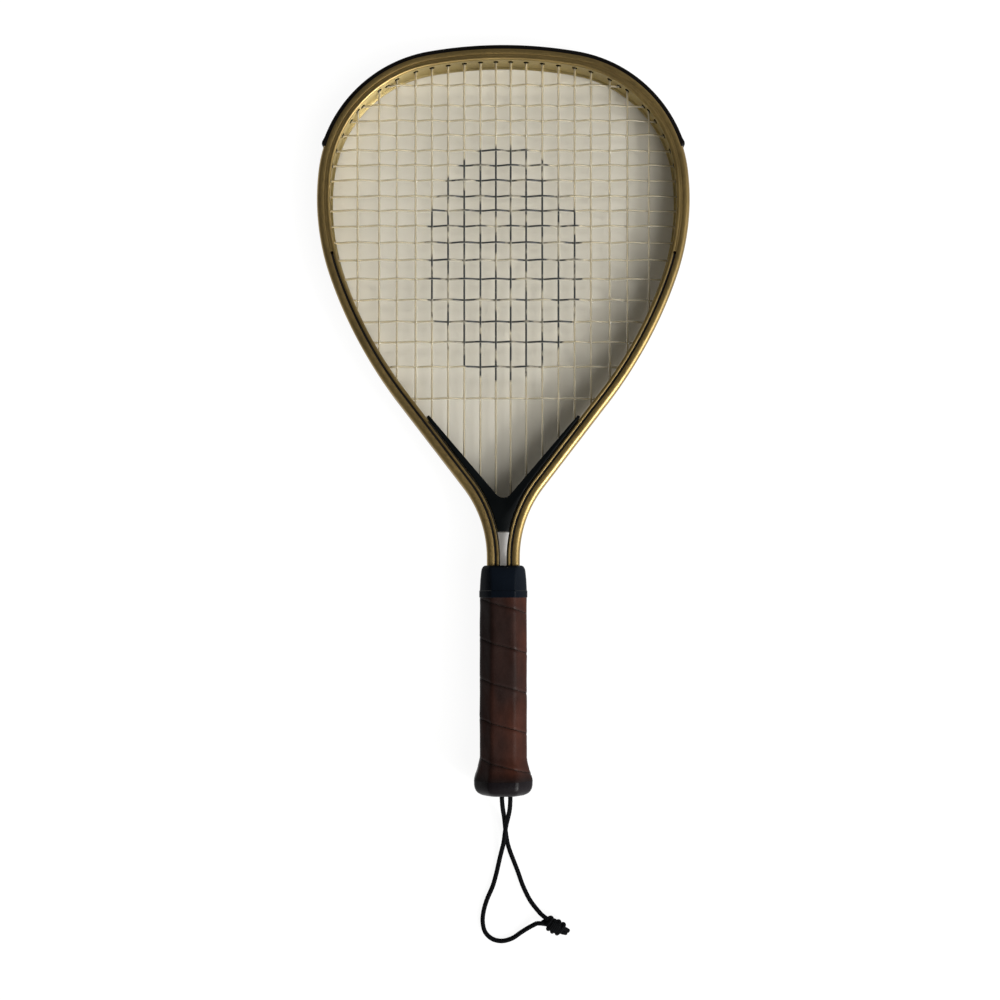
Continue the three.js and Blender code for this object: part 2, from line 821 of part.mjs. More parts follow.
// One long strip wound down the handle from the collar, each turn beside the last
function gripWrap() {
  const plain = gripRing(0, 0);
  const sides = plain.map((point, i) => point.distanceTo(plain[(i + 1) % plain.length]));
  const girth = sides.reduce((sum, side) => sum + side, 0);
  const stripWidth = stripPitch - stripGap;
  const turns = Math.ceil((wrapTop - wrapBottom) / stripPitch) + 2;
  const rings = [];
  let middle = wrapTop + stripLead;
  for (let k = 0; k <= turns * plain.length; k += 1) {
    const heights = [];
    for (let cell = 0; cell <= stripCells; cell += 1) {
      heights.push(middle + stripWidth * (1 / 2 - cell / stripCells));
    }
    const at = (height, spread) => gripRing(height, flareAt(height) + spread)[k % plain.length];
    const outer = heights.map((height) => at(height, 0));
    const inner = heights.map((height) => at(height, -leatherThickness)).reverse();
    rings.push([...outer, ...inner]);
    middle -= (stripPitch * sides[k % plain.length]) / girth;
  }
  const gaps = rings.slice(plain.length).map((ring, k) => ring[0].distanceTo(rings[k][stripCells]));
  console.log(`Least gap between the grip's turns: ${Math.min(...gaps).toFixed(2)} mm`);
  const trim = block(-gripWidth, gripWidth, wrapBottom, wrapTop, -gripDepth, gripDepth);
  return toSolid(loft(rings)).intersect(toSolid(trim));
}

// Heights up the collar, and sizes there less the grip's, as shares of its length and width
const collarShares = [
  { height: 0, inset: 0.003, bevel: 0.25 },
  { height: 0.55, inset: 0.019, bevel: 0.228 },
  { height: 0.87, inset: 0.04, bevel: 0.186 },
  { height: 0.96, inset: 0.068, bevel: 0.138 },
  { height: 1, inset: 0.1, bevel: 0.09 },
];

function collar() {
  const rings = collarShares.map(({ height, inset, bevel }) => corners(
    collarHeight + height * collarLength,
    gripWidth * (1 / 2 - inset), gripDepth / 2 - gripWidth * inset, gripWidth * bevel,
  ));
  const from = collarHeight - overrun;
  const to = collarHeight + collarLength + overrun;
  return cut(toSolid(loft(rings)), [legPocket(-1, from, to), legPocket(1, from, to)]);
}

// The butt's rounding: shares of the cap's length, and of the flare at its rim
const capShares = [[0, -0.66], [0.11, 0.17], [0.29, 0.6], [0.55, 0.89], [1, 1]];

function buttCap() {
  const outside = loft(capShares.map(
    ([height, spread]) => gripRing(height * capLength, spread * flareSpread),
  ));
  const recessSpread = clearance - spigotInset;
  const recess = loft([gripRing(capFloor, recessSpread), gripRing(capLength + overrun, recessSpread)]);
  const slot = block(
    -slotLength / 2, slotLength / 2, -overrun, capFloor + overrun, -slotWidth / 2, slotWidth / 2,
  );
  const headDepth = tackHeadThickness + clearance;
  const up = new THREE.Vector3(0, 1, 0);
  const seats = [-1, 1].map((side) => {
    const middle = tackMiddle(side, (headDepth - overrun) / 2);
    return toSolid(rod(tackHeadRadius + clearance, headDepth + overrun, middle, up, roundSides));
  });
  return cut(toSolid(outside), [toSolid(recess), toSolid(slot), ...seats, tackHole(-1), tackHole(1)]);
}

function turned(profile) {
  const points = profile.map(([radius, height]) => new THREE.Vector2(radius, height));
  return new THREE.LatheGeometry(points, roundSides);
}

function tack(side) {
  const geometry = turned([
    [0, 0], [tackHeadRadius, 0], [tackHeadRadius, tackHeadThickness],
    [tackShankRadius, tackHeadThickness], [tackShankRadius, tackLength], [0, tackLength],
  ]);
  const { x, y, z } = tackMiddle(side, 0);
  return toSolid(geometry.translate(x, y, z));
}

function rivet(height) {
  const face = palletHalfDepth - clearance;
  const under = face - rivetHeadThickness;
  const geometry = turned([
    [0, -face], [rivetHeadRadius, -face], [rivetHeadRadius, -under], [rivetRadius, -under],
    [rivetRadius, under], [rivetHeadRadius, under], [rivetHeadRadius, face], [0, face],
  ]);
  return toSolid(geometry.rotateX(Math.PI / 2).translate(0, height, 0));
}

function cordPin() {
  return toSolid(rod(pinRadius, pinLength, new THREE.Vector3(0, pinHeight, 0), across, roundSides));
}

// Wrist cord

// The hidden bend round the pin joins the two strands where they leave the butt
function cordBight() {
  const reach = pinRadius + clearance + cordRadius;
  const rise = pinHeight * bightRiseShare;
  const points = [[shortStrandExit, 0], [shortStrandExit, capFloor], [-reach, rise]];
  for (let i = 0; i <= bightSteps; i += 1) {
    const angle = Math.PI * (1 - i / bightSteps);
    points.push([reach * Math.cos(angle), pinHeight + reach * Math.sin(angle)]);
  }
  points.push([reach, rise], [longStrandExit, capFloor], [longStrandExit, 0]);
  const route = new Route(points.map(([x, y]) => new THREE.Vector3(x, y, 0)));
  return toSolid(tube(route, cordRadius, cordSides));
}

function strand(exit, places, steps) {
  const start = racket.localToWorld(new THREE.Vector3(exit, -clearance, 0));
  const points = [start, ...places.map((place) => new THREE.Vector3(...place))];
  const curve = new THREE.CatmullRomCurve3(points, false, "centripetal");
  return new Route(curve.getSpacedPoints(steps));
}

// The short start of a strand, where it comes out of the knot
function knotStub(route) {
  const end = route.points.at(-1);
  const direction = end.clone().sub(route.points.at(-2)).normalize();
  const length = 2 * cordRadius + clearance;
  const middle = end.clone().addScaledVector(direction, clearance + length / 2);
  return toSolid(rod(cordRadius, length, middle, direction, cordSides));
}

function knot(strands) {
  const [first, second] = strands.map((route) => route.points.at(-1));
  const middle = first.clone().add(second).multiplyScalar(1 / 2);
  const place = (shares) => new THREE.Vector3(...shares).multiplyScalar(cordRadius).add(middle);
  const lobes = knotLobeShares.map(({ at, size }) => {
    const ball = new THREE.SphereGeometry(cordRadius, knotLobeSides, knotLobeRings);
    return toSolid(ball.scale(...size).translate(...place(at).toArray()));
  });
  const tails = knotTailShares.map(([from, to]) => {
    const route = new Route([place(from), place(to)]);
    return toSolid(tube(route, cordRadius, cordSides));
  });
  const parts = [...lobes, ...tails, ...strands.map(knotStub)];
  return parts.reduce((whole, part) => whole.add(part));
}

// Assembly: the racket lies on the rim of its butt and on the back of its head

const racket = new THREE.Group();
racket.add(
  piece("frame", frame(), finishes.gold),
  piece("yoke", yoke(), finishes.blackPlastic),
  piece("head_guard", headGuard(), finishes.blackPlastic),
  piece("main_string", string(mainStations(), mainSides), finishes.nylon),
  piece("cross_string", string(crossStations(), crossSides), finishes.nylon),
  piece("pallet_front", palletHalf(1), finishes.foam),
  piece("pallet_back", palletHalf(-1), finishes.foam),
  piece("handle_rivet_upper", rivet(upperRivetHeight), finishes.steel),
  piece("handle_rivet_lower", rivet(lowerRivetHeight), finishes.steel),
  piece("collar", collar(), finishes.blackPlastic),
  piece("grip_wrap", gripWrap(), finishes.leather),
  piece("butt_cap", buttCap(), finishes.blackPlastic),
  piece("butt_tack_front", tack(1), finishes.steel),
  piece("butt_tack_back", tack(-1), finishes.steel),
  piece("cord_pin", cordPin(), finishes.steel),
  piece("cord_bight", cordBight(), finishes.braid),
);
const headRest = headTop - cornerRadius;
const buttRest = gripDepth / 2 + flareSpread;
racket.rotation.x = -Math.atan2(buttRest - halfDepth, headRest - wrapBottom);
racket.updateMatrixWorld(true);
const extent = new THREE.Box3().setFromObject(racket, true);
const centre = extent.getCenter(new THREE.Vector3());
racket.position.set(-centre.x, -centre.y, -extent.min.z);
racket.updateMatrixWorld(true);

const strands = [
  strand(shortStrandExit, shortStrandRoute, shortStrandSteps),
  strand(longStrandExit, longStrandRoute, longStrandSteps),
];
const whole = new THREE.Group();
whole.add(
  racket,
  piece("cord_strand_short", toSolid(tube(strands[0], cordRadius, cordSides)), finishes.braid),
  piece("cord_strand_long", toSolid(tube(strands[1], cordRadius, cordSides)), finishes.braid),
  piece("cord_knot", knot(strands), finishes.braid),
);

export default whole;
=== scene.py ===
"""A strung racquetball racket, dressed for its render.

Lengths in the tables are millimetres in the racket's own frame: +X right, +Y from butt to head and
Z = 0 in the middle of the frame's depth. lay() puts them into the model's frame, in metres.
"""
import math

import bmesh
import bpy
from mathutils import Euler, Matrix, Vector, kdtree, noise


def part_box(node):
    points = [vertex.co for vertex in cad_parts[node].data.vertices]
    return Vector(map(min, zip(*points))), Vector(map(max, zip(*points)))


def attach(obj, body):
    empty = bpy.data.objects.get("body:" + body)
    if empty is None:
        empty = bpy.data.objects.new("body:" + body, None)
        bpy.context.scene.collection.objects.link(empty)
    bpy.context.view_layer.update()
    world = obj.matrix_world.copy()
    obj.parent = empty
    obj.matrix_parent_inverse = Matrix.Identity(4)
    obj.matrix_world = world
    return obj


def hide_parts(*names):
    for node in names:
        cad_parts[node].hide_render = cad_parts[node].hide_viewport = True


MM = 0.001
DEGREE = math.pi / 180

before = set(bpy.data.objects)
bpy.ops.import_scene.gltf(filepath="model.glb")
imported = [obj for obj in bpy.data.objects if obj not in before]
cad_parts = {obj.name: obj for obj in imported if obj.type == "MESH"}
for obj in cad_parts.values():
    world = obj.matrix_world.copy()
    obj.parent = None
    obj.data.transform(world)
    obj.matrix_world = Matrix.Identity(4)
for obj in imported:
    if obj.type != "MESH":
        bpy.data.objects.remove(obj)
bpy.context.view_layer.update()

# -------- sizes
LENGTH = 458.4
TOP_EDGE = 457.2
DEPTH = 18.0
WIDTH = 8.1
HALF = WIDTH / 2
CORNER = 2.6
FLARE = 3.5
GRIP_WIDTH = 29.0
GRIP_DEPTH = 28.0
GRIP_BEVEL = 7.3
WRAP_BOTTOM = 9.4
COLLAR_FOOT = 121.5
CAP_LENGTH = 9.1
STRING = 0.675
CORD = 1.45
CLEARANCE = 0.3

TILT = math.atan2(GRIP_DEPTH / 2 + FLARE - DEPTH / 2, TOP_EDGE - CORNER - WRAP_BOTTOM)
SPIN = Euler((-TILT, 0, 0)).to_matrix()


def turned(x, y, z):
    return SPIN @ Vector((x, y, z)) * MM


# The racket's shift comes from two places that rest on the ground and end its length.
BUTT_EDGE_SHARE = 0.66
frame_low, cap_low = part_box("frame")[0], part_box("butt_cap")[0]
SHIFT = Vector((
    0,
    cap_low[1] - turned(0, 0, -(GRIP_DEPTH / 2 - BUTT_EDGE_SHARE * FLARE)).y,
    frame_low[2] - turned(0, TOP_EDGE - CORNER, -DEPTH / 2).z,
))


def lay(x, y, z):
    """A place in the racket's own frame, in millimetres, as a point of the model."""
    return turned(x, y, z) + SHIFT


def new_object(name, data):
    obj = bpy.data.objects.new(name, data)
    bpy.context.scene.collection.objects.link(obj)
    return obj


# -------- camera
PICTURE = 1000          # the picture's width and height in pixels
SCALE = 0.6157          # millimetres to a pixel on the string plane
BUTT_PIXEL = 794.2      # where the string plane's y = 0 falls
AXIS_PIXEL = 503.3      # and its x = 0
HEIGHT = 850.0
CAMERA_Y = 127.0
SENSOR = 36
PICTURE_Y = (BUTT_PIXEL - PICTURE / 2) * SCALE

camera_data = bpy.data.cameras.new("camera")
camera_data.sensor_width = SENSOR
camera_data.lens = SENSOR * HEIGHT / (SCALE * PICTURE)
camera_data.shift_y = (PICTURE_Y - CAMERA_Y) / (SCALE * PICTURE)
camera_data.clip_start = 0.05
camera_data.clip_end = 20
camera = new_object("camera", camera_data)
camera.location = lay((PICTURE / 2 - AXIS_PIXEL) * SCALE, CAMERA_Y, HEIGHT)
camera.rotation_euler = (-TILT, 0, 0)
bpy.context.scene.camera = camera


# -------- curves
def lengths_of(points):
    total = [0.0]
    for a, b in zip(points, points[1:]):
        total.append(total[-1] + (b - a).length)
    return total


def smooth_path(points, step):
    """Points along a centripetal curve through the given ones, about a step apart."""
    pts = [Vector(p) for p in points]
    full = [pts[0] * 2 - pts[1], *pts, pts[-1] * 2 - pts[-2]]
    out = [pts[0]]

    def between(p, q, start, end, t):
        return p * ((end - t) / (end - start)) + q * ((t - start) / (end - start))

    for a, b, c, d in zip(full, full[1:], full[2:], full[3:]):
        t1 = max((b - a).length, 1e-9) ** 0.5
        t2 = t1 + max((c - b).length, 1e-9) ** 0.5
        t3 = t2 + max((d - c).length, 1e-9) ** 0.5
        count = max(2, int((c - b).length / step))
        for i in range(1, count + 1):
            t = t1 + (t2 - t1) * i / count
            middle = between(b, c, t1, t2, t)
            first = between(between(a, b, 0, t1, t), middle, 0, t2, t)
            second = between(middle, between(c, d, t2, t3, t), t1, t3, t)
            out.append(between(first, second, t1, t2, t))
    return out


def eased(a, corner, b, steps):
    """Points on a short curve from a to b that a corner pulls out."""
    shares = [k / steps for k in range(steps + 1)]
    return [a * (1 - t) ** 2 + corner * (2 * t * (1 - t)) + b * t * t for t in shares]


def ease(t):
    t = max(0.0, min(1.0, t))
    return t * t * (3 - 2 * t)


def angles(count):
    """So many angles, evenly round a circle."""
    return [2 * math.pi * k / count for k in range(count)]


def arc(inset, height, radius, start, end, steps):
    """Points of a section along an arc, its centre in millimetres and its ends in degrees."""
    turns = [(start + (end - start) * i / steps) * DEGREE for i in range(steps + 1)]
    return [(inset + radius * math.cos(a), height + radius * math.sin(a)) for a in turns]


def bisect(measure, target, low, high):
    rising = measure(high) > measure(low)
    for _ in range(50):
        middle = (low + high) / 2
        if (measure(middle) < target) == rising:
            low = middle
        else:
            high = middle
    return (low + high) / 2


# -------- mesh helpers
def shade(mesh, angle):
    mesh.shade_smooth()
    mesh.set_sharp_from_angle(angle=angle * DEGREE)


def mesh_object(name, verts, faces, smooth_angle=40, picks=()):
    """An object from points and faces; picks gives each face its material slot."""
    mesh = bpy.data.meshes.new(name)
    mesh.from_pydata([tuple(v) for v in verts], [], faces)
    for polygon, pick in zip(mesh.polygons, picks):
        polygon.material_index = pick
    mesh.update()
    shade(mesh, smooth_angle)
    return new_object(name, mesh)


def joined(name, parts, smooth_angle=40):
    """One object out of several (points, faces) shells."""
    verts, faces = [], []
    for part_verts, part_faces in parts:
        base = len(verts)
        verts += part_verts
        faces += [tuple(base + i for i in face) for face in part_faces]
    return mesh_object(name, verts, faces, smooth_angle)


def skin(count, rings, flip=False):
    """Faces that join rings of so many points, one after another, and close both ends."""
    faces = []
    for a in range(0, (rings - 1) * count, count):
        b = a + count
        for k in range(count):
            j = (k + 1) % count
            faces.append((a + k, b + k, b + j, a + j) if flip else (a + k, a + j, b + j, b + k))
    first, last = tuple(range(count)), tuple(range((rings - 1) * count, rings * count))
    return faces + ([first, last[::-1]] if flip else [first[::-1], last])


def edit_mesh(mesh, change):
    """Run a change on an editable copy of a mesh and write it back."""
    work = bmesh.new()
    work.from_mesh(mesh)
    change(work)
    work.to_mesh(mesh)
    work.free()


def face_outward(mesh):
    edit_mesh(mesh, lambda work: bmesh.ops.recalc_face_normals(work, faces=work.faces))


def carve(obj, cutter, angle, **settings):
    """Cut a closed mesh out of an object and throw the cutter away."""
    cut = obj.modifiers.new("cut", "BOOLEAN")
    cut.operation, cut.solver, cut.object = "DIFFERENCE", "EXACT", cutter
    for key, value in settings.items():
        setattr(cut, key, value)
    graph = bpy.context.evaluated_depsgraph_get()
    carved = bpy.data.meshes.new_from_object(obj.evaluated_get(graph))
    obj.modifiers.clear()
    obj.data = carved
    bpy.data.objects.remove(cutter)
    shade(obj.data, angle)


def frames_along(points):
    """Side and up at each point, turned as little as may be from one to the next."""
    up, frames = Vector((0, 0, 1)), []
    for i in range(len(points)):
        direction = (points[min(i + 1, len(points) - 1)] - points[max(i - 1, 0)]).normalized()
        if i == 0 and abs(direction.dot(up)) > 0.9:
            up = Vector((1, 0, 0))
        side = direction.cross(up).normalized()
        up = side.cross(direction).normalized()
        frames.append((side, up))
    return frames


def tube(points, radius, sides, swell=None):
    """Points, faces and UVs of a tube; swell(around, along) adds to its radius."""
    verts, uvs = [], []
    run = lengths_of(points)
    for (side, up), point, along in zip(frames_along(points), points, run):
        for a in angles(sides):
            r = radius + (swell(a, along) if swell else 0)
            verts.append(point + (side * math.cos(a) + up * math.sin(a)) * r)
    for start, end in zip(run, run[1:]):
        for k in range(sides):
            left, right = k / sides, (k + 1) / sides
            uvs.append([(left, start), (right, start), (right, end), (left, end)])
    uvs += [[(0, 0)] * sides, [(0, run[-1])] * sides]
    return verts, skin(sides, len(points)), uvs


def tube_object(name, tubes):
    """One object out of tubes; its UVs are the turn and the run along each."""
    obj = joined(name, [(verts, faces) for verts, faces, _ in tubes], 80)
    layer = obj.data.uv_layers.new(name="run")
    flat = [uv for _, _, uvs in tubes for face in uvs for uv in face]
    for loop, uv in zip(layer.data, flat):
        loop.uv = uv
    return obj


# -------- the frame's centreline
HEAD_ARCS = [(263, 10), (82, 83), (145.5, 109), (268, 127.5)]   # outer radius, heading at its end
THROAT_RADIUS = 71.5
LEG_GAP = 2
LEG_END = 22


def along(run, distance):
    x, y, heading, curvature = run["x"], run["y"], run["heading"], run["curvature"]
    ahead = heading + curvature * distance
    if curvature == 0:
        return x + distance * math.cos(heading), y - distance * math.sin(heading), heading
    return (
        x + (math.sin(ahead) - math.sin(heading)) / curvature,
        y + (math.cos(ahead) - math.cos(heading)) / curvature,
        ahead,
    )


def centreline():
    """Arcs and straights from the head's top down the right side to the leg's end."""
    runs = []
    here, start = (0.0, TOP_EDGE - HALF, 0.0), 0.0

    def add(length, curvature):
        nonlocal here, start
        runs.append({
            "x": here[0], "y": here[1], "heading": here[2], "start": start, "length": length,
            "curvature": curvature,
        })
        here = along(runs[-1], length)
        start += length

    def bend(radius, to_degrees):
        turn = to_degrees * DEGREE - here[2]
        add(abs(turn) * radius, math.copysign(1, turn) / radius)

    for radius, heading in HEAD_ARCS:
        bend(radius - HALF, heading)
    throat = THROAT_RADIUS + HALF
    drift = here[0] - throat * (1 - math.sin(here[2])) - (LEG_GAP + HALF)
    add(drift / -math.cos(here[2]), 0)
    bend(throat, 90)
    add(here[1] - LEG_END, 0)
    return runs, start


RUNS, REACH = centreline()
SIDE_START, THROAT_START, LEG_START = (RUNS[i]["start"] for i in (3, 5, 6))
LEG_TOP = RUNS[6]["y"]


def at_distance(distance):
    run = next(r for r in reversed(RUNS) if r["start"] <= distance)
    return along(run, distance - run["start"])


def on_frame(length, offset=0.0):
    """The point at a signed length along the frame, moved inward, and the inward direction."""
    side = -1 if length < 0 else 1
    x, y, heading = at_distance(abs(length))
    inward = (-side * math.sin(heading), -math.cos(heading))
    return (side * x + inward[0] * offset, y + inward[1] * offset), inward


def length_at_height(height, offset):
    return bisect(lambda s: on_frame(s, offset)[0][1], height, 0, REACH)


def stations(from_length, to_length, step=3.2):
    """Signed lengths along the frame, closer where it bends."""
    marks = {from_length, to_length}
    for run in RUNS:
        count = max(1, math.ceil(run["length"] / (step if run["curvature"] else 12)))
        for i in range(count + 1):
            s = run["start"] + run["length"] * i / count
            marks |= {t for t in (-s, s) if from_length + 0.5 < t < to_length - 0.5}
    out = []
    for s in sorted(marks):
        if not out or s - out[-1] > 0.05:
            out.append(s)
    return out


def sweep(name, section_at, marks, pick=None, smooth_angle=35):
    """A closed section of (inset, height) carried along the frame; it may change on the way."""
    verts, picks = [], []
    count = len(section_at(marks[0]))
    for s in marks:
        for inset, height in section_at(s):
            verts.append(lay(*on_frame(s, inset - HALF)[0], height))
    for a, b in zip(marks, marks[1:]):
        picks += [pick(k, (a + b) / 2) if pick else 0 for k in range(count)]
    faces = skin(count, len(marks), flip=True)
    return mesh_object(name, verts, faces, smooth_angle, [*picks, 0, 0])


def mirror_section(upper):
    return upper + [(inset, -height) for inset, height in reversed(upper)]


def nearest_places(mesh, marks):
    """Which of these lengths along the frame lies nearest to each point of a mesh."""
    finder = kdtree.KDTree(len(marks))
    for i, s in enumerate(marks):
        finder.insert(lay(*on_frame(s)[0], 0), i)
    finder.balance()
    return [finder.find(vertex.co)[1] for vertex in mesh.vertices]


# -------- materials
def srgb(*levels):
    def linear(v):
        v /= 255
        return v / 12.92 if v <= 0.04045 else ((v + 0.055) / 1.055) ** 2.4
    return tuple(linear(v) for v in levels)


class Nodes:
    """Adds nodes to a material or a world; most calls give the output that the next one needs."""

    def __init__(self, owner):
        owner.use_nodes = True
        self.owner, self.tree = owner, owner.node_tree
        self.shader = self.tree.nodes.get("Principled BSDF")

    def add(self, kind, **settings):
        made = self.tree.nodes.new("ShaderNode" + kind)
        for key, value in settings.items():
            setattr(made, key, value)
        return made

    def fill(self, made, values):
        """Link or set the inputs of a node."""
        for name, value in values.items():
            if hasattr(value, "is_linked"):
                self.tree.links.new(value, made.inputs[name])
            else:
                made.inputs[name].default_value = value
        return made

    def finish(self, values):
        self.fill(self.shader, values)

    def maths(self, operation, a, b=None, clamp=False):
        values = {0: a} if b is None else {0: a, 1: b}
        return self.fill(self.add("Math", operation=operation, use_clamp=clamp), values).outputs[0]

    def times(self, a, b, clamp=False):
        return self.maths("MULTIPLY", a, b, clamp)

    def plus(self, a, b):
        return self.maths("ADD", a, b)

    def minus(self, a, b):
        return self.maths("SUBTRACT", a, b)

    def place(self, kind="Object"):
        return self.add("TexCoord").outputs[kind]

    def split(self, vector):
        return self.fill(self.add("SeparateXYZ"), {"Vector": vector}).outputs

    def attribute(self, name):
        return self.add("Attribute", attribute_name=name, attribute_type="GEOMETRY").outputs

    def ramp(self, source, *stops):
        """Colours by a value; a stop is a place and a colour, or one number for a grey."""
        made = self.fill(self.add("ValToRGB"), {"Fac": source})
        elements = made.color_ramp.elements
        while len(elements) < len(stops):
            elements.new(0.5)
        for element, (place, colour) in zip(elements, stops):
            element.position = place
            element.color = (*(colour if isinstance(colour, tuple) else (colour,) * 3), 1)
        return made.outputs["Color"]

    def noise(self, scale, detail, stretch=None, roughness=0.5):
        place = self.place()
        if stretch:
            moved = self.fill(self.add("Mapping"), {"Vector": place, "Scale": stretch})
            place = moved.outputs["Vector"]
        made = self.fill(self.add("TexNoise"), {
            "Vector": place, "Scale": scale, "Detail": detail, "Roughness": roughness,
        })
        return made.outputs["Fac"]

    def cells(self, scale):
        made = self.fill(self.add("TexVoronoi"), {"Vector": self.place(), "Scale": scale})
        return made.outputs["Distance"]

    def mix(self, share, a, b, blend="MIX"):
        a, b = ((*v, 1) if isinstance(v, tuple) else v for v in (a, b))
        made = self.add("Mix", data_type="RGBA", blend_type=blend)
        return self.fill(made, {"Factor": share, "A": a, "B": b}).outputs["Result"]

    def bump(self, height, distance, strength=1.0):
        made = self.fill(self.add("Bump"), {
            "Height": height, "Distance": distance, "Strength": strength,
        })
        self.finish({"Normal": made.outputs["Normal"]})


def new_look(name):
    return Nodes(bpy.data.materials.new(name))


def gold(name, colour, roughness, drawn=False):
    """Satin anodised aluminium with faint stains and, on the inner wall, drawn lines."""
    look = new_look(name)
    fine = look.noise(900, 2)
    dark, light = (tuple(v * share for v in colour) for share in (0.72, 1.12))
    look.finish({
        "Base Color": look.ramp(look.noise(26, 4), (0.3, dark), (0.55, colour), (0.8, light)),
        "Roughness": look.ramp(fine, (0.35, roughness - 0.06), (0.7, roughness + 0.1)),
        "Metallic": 1.0,
        "Coat Weight": 0.4,
        "Coat Roughness": 0.28,
    })
    if drawn:
        look.finish({
            "Tangent": look.attribute("along")["Vector"],
            "Anisotropic": 0.9,
            "Anisotropic Rotation": 0.25,
        })
    look.bump(fine, 0.00002, 0.5)
    return look.owner


def plastic(name, colour, roughness, shine, grain=700, depth=0.00003):
    """Moulded black plastic, with a fine grain and faint smudges of dust."""
    look = new_look(name)
    smudge = look.noise(40, 4)
    dusty = tuple(v * 1.6 + 0.0004 for v in colour)
    look.finish({
        "Base Color": look.ramp(smudge, (0.35, colour), (0.75, dusty)),
        "Roughness": look.ramp(smudge, (0.3, roughness - 0.07), (0.75, roughness + 0.12)),
        "Specular IOR Level": shine,
    })
    look.bump(look.noise(grain, 3), depth, 0.6)
    return look.owner


def steel():
    look = new_look("plain_steel")
    lines = look.noise(500, 3, stretch=(1, 1, 0.1))
    look.finish({
        "Base Color": look.ramp(lines, (0.3, srgb(120, 118, 114)), (0.7, srgb(190, 188, 184))),
        "Roughness": look.ramp(lines, (0.3, 0.28), (0.8, 0.45)),
        "Metallic": 1.0,
    })
    return look.owner


def foam():
    look = new_look("handle_foam")
    cells = look.cells(900)
    # The colour follows the same cells as the bump, darker in the pits: painted shade.
    look.finish({
        "Base Color": look.ramp(cells, (0.1, srgb(40, 37, 34)), (0.7, srgb(74, 70, 64))),
        "Roughness": 0.85,
    })
    look.bump(cells, 0.0002)
    return look.owner


OVAL_MIDDLE = (0.0, lay(0, 327, 0).y)
OVAL_HALF = (0.050, 0.074)


def nylon():
    """Natural nylon, with worn ink on top of it inside a plain oval in the bed's middle, and painted
    shade where it runs inside the bar's web.
    """
    look = new_look("natural_nylon")
    squares = []
    for place, middle, half in zip(look.split(look.place()), OVAL_MIDDLE, OVAL_HALF):
        share = look.maths("DIVIDE", look.minus(place, middle), half)
        squares.append(look.times(share, share))
    reach = look.maths("SQRT", look.plus(*squares))
    inside = look.times(look.minus(1.0, reach), 40, clamp=True)
    kept = look.ramp(look.noise(75, 3), (0.36, 0.35), (0.5, 1.0))
    facing = look.split(look.add("NewGeometry").outputs["Normal"])["Z"]
    upper = look.times(look.minus(facing, 0.3), 3, clamp=True)
    ink = look.times(look.times(inside, kept), upper)
    web = look.attribute("web_shade")["Fac"]
    clean = look.ramp(look.noise(160, 3), (0.3, srgb(206, 196, 170)), (0.7, srgb(226, 217, 194)))
    inked = look.mix(ink, clean, srgb(52, 55, 56))
    covered = look.maths("MAXIMUM", ink, web)
    # Inside the web's holes the string is painted near black and kept opaque: painted shade.
    look.finish({
        "Base Color": look.mix(web, inked, srgb(16, 11, 7)),
        "Roughness": 0.3,
        "IOR": 1.4,
        "Transmission Weight": look.times(look.minus(1.0, covered), 0.8),
    })
    return look.owner


def leather():
    """Old brown leather: pores, long creases, dark handling stains, darker at seams and cap."""
    look = new_look("worn_leather")
    crease = look.noise(120, 6, stretch=(1, 0.5, 1), roughness=0.65)
    stain = look.noise(22, 3, stretch=(1, 0.6, 1))
    tone = look.ramp(stain, (0.3, srgb(22, 13, 11)), (0.46, srgb(36, 20, 16)),
                     (0.6, srgb(60, 30, 20)), (0.78, srgb(50, 30, 25)))
    # The colour follows the creases, darker in their hollows and lighter on their ridges: painted
    # shade and highlight.
    shaded = look.mix(1.0, tone, look.ramp(crease, (0.35, 0.7), (0.65, 1.12)), "MULTIPLY")
    seam = look.times(look.attribute("seam")["Fac"], 0.3)
    start, full = lay(0, 15, 0).y, lay(0, 10.5, 0).y
    fallen = look.minus(start, look.split(look.place())["Y"])
    near_cap = look.times(look.maths("DIVIDE", fallen, start - full, clamp=True), 0.8)
    seamed = look.mix(seam, shaded, srgb(20, 12, 10))
    look.finish({
        "Base Color": look.mix(near_cap, seamed, srgb(13, 10, 11)),
        "Roughness": look.ramp(crease, (0.3, 0.4), (0.7, 0.56)),
        "Specular IOR Level": 0.12,
    })
    look.bump(look.plus(look.times(look.cells(1100), 0.35), crease), 0.0002, 0.45)
    return look.owner


BRAID_STRANDS = 4
BRAID_LAY = 0.0022


def braid():
    """Black braided cord: two crossing lays of strands, from the tube's own run and turn."""
    look = new_look("cord_braid")
    uv = look.split(look.add("UVMap", uv_map="run").outputs["UV"])
    turn = look.times(uv["X"], 2 * math.pi * BRAID_STRANDS)
    run = look.times(uv["Y"], 2 * math.pi / BRAID_LAY)
    left, right = (look.maths("SINE", way(turn, run)) for way in (look.plus, look.minus))
    height = look.plus(look.times(look.times(left, right), 0.5), 0.5)
    # The colour follows the braid's height, darker between the strands: painted shade.
    look.finish({
        "Base Color": look.ramp(height, (0.1, srgb(2, 2, 4)), (0.8, srgb(8, 9, 12))),
        "Roughness": 0.8,
        "Specular IOR Level": 0.08,
    })
    look.bump(height, 0.00025)
    return look.owner


GOLD = gold("gold_anodised", (0.33, 0.23, 0.084), 0.38)
# The inner wall is the same anodised gold in a lighter colour: painted light for the highlight it
# catches; its drawn lines are its own.
WALL = gold("gold_inner_wall", (0.43, 0.34, 0.15), 0.46, drawn=True)
# Black paint in the groove, also used on the rim beside the yoke as a painted reflection.
STRIPE = plastic("black_stripe_and_rim_reflection", srgb(10, 7, 5), 0.45, 0.2)
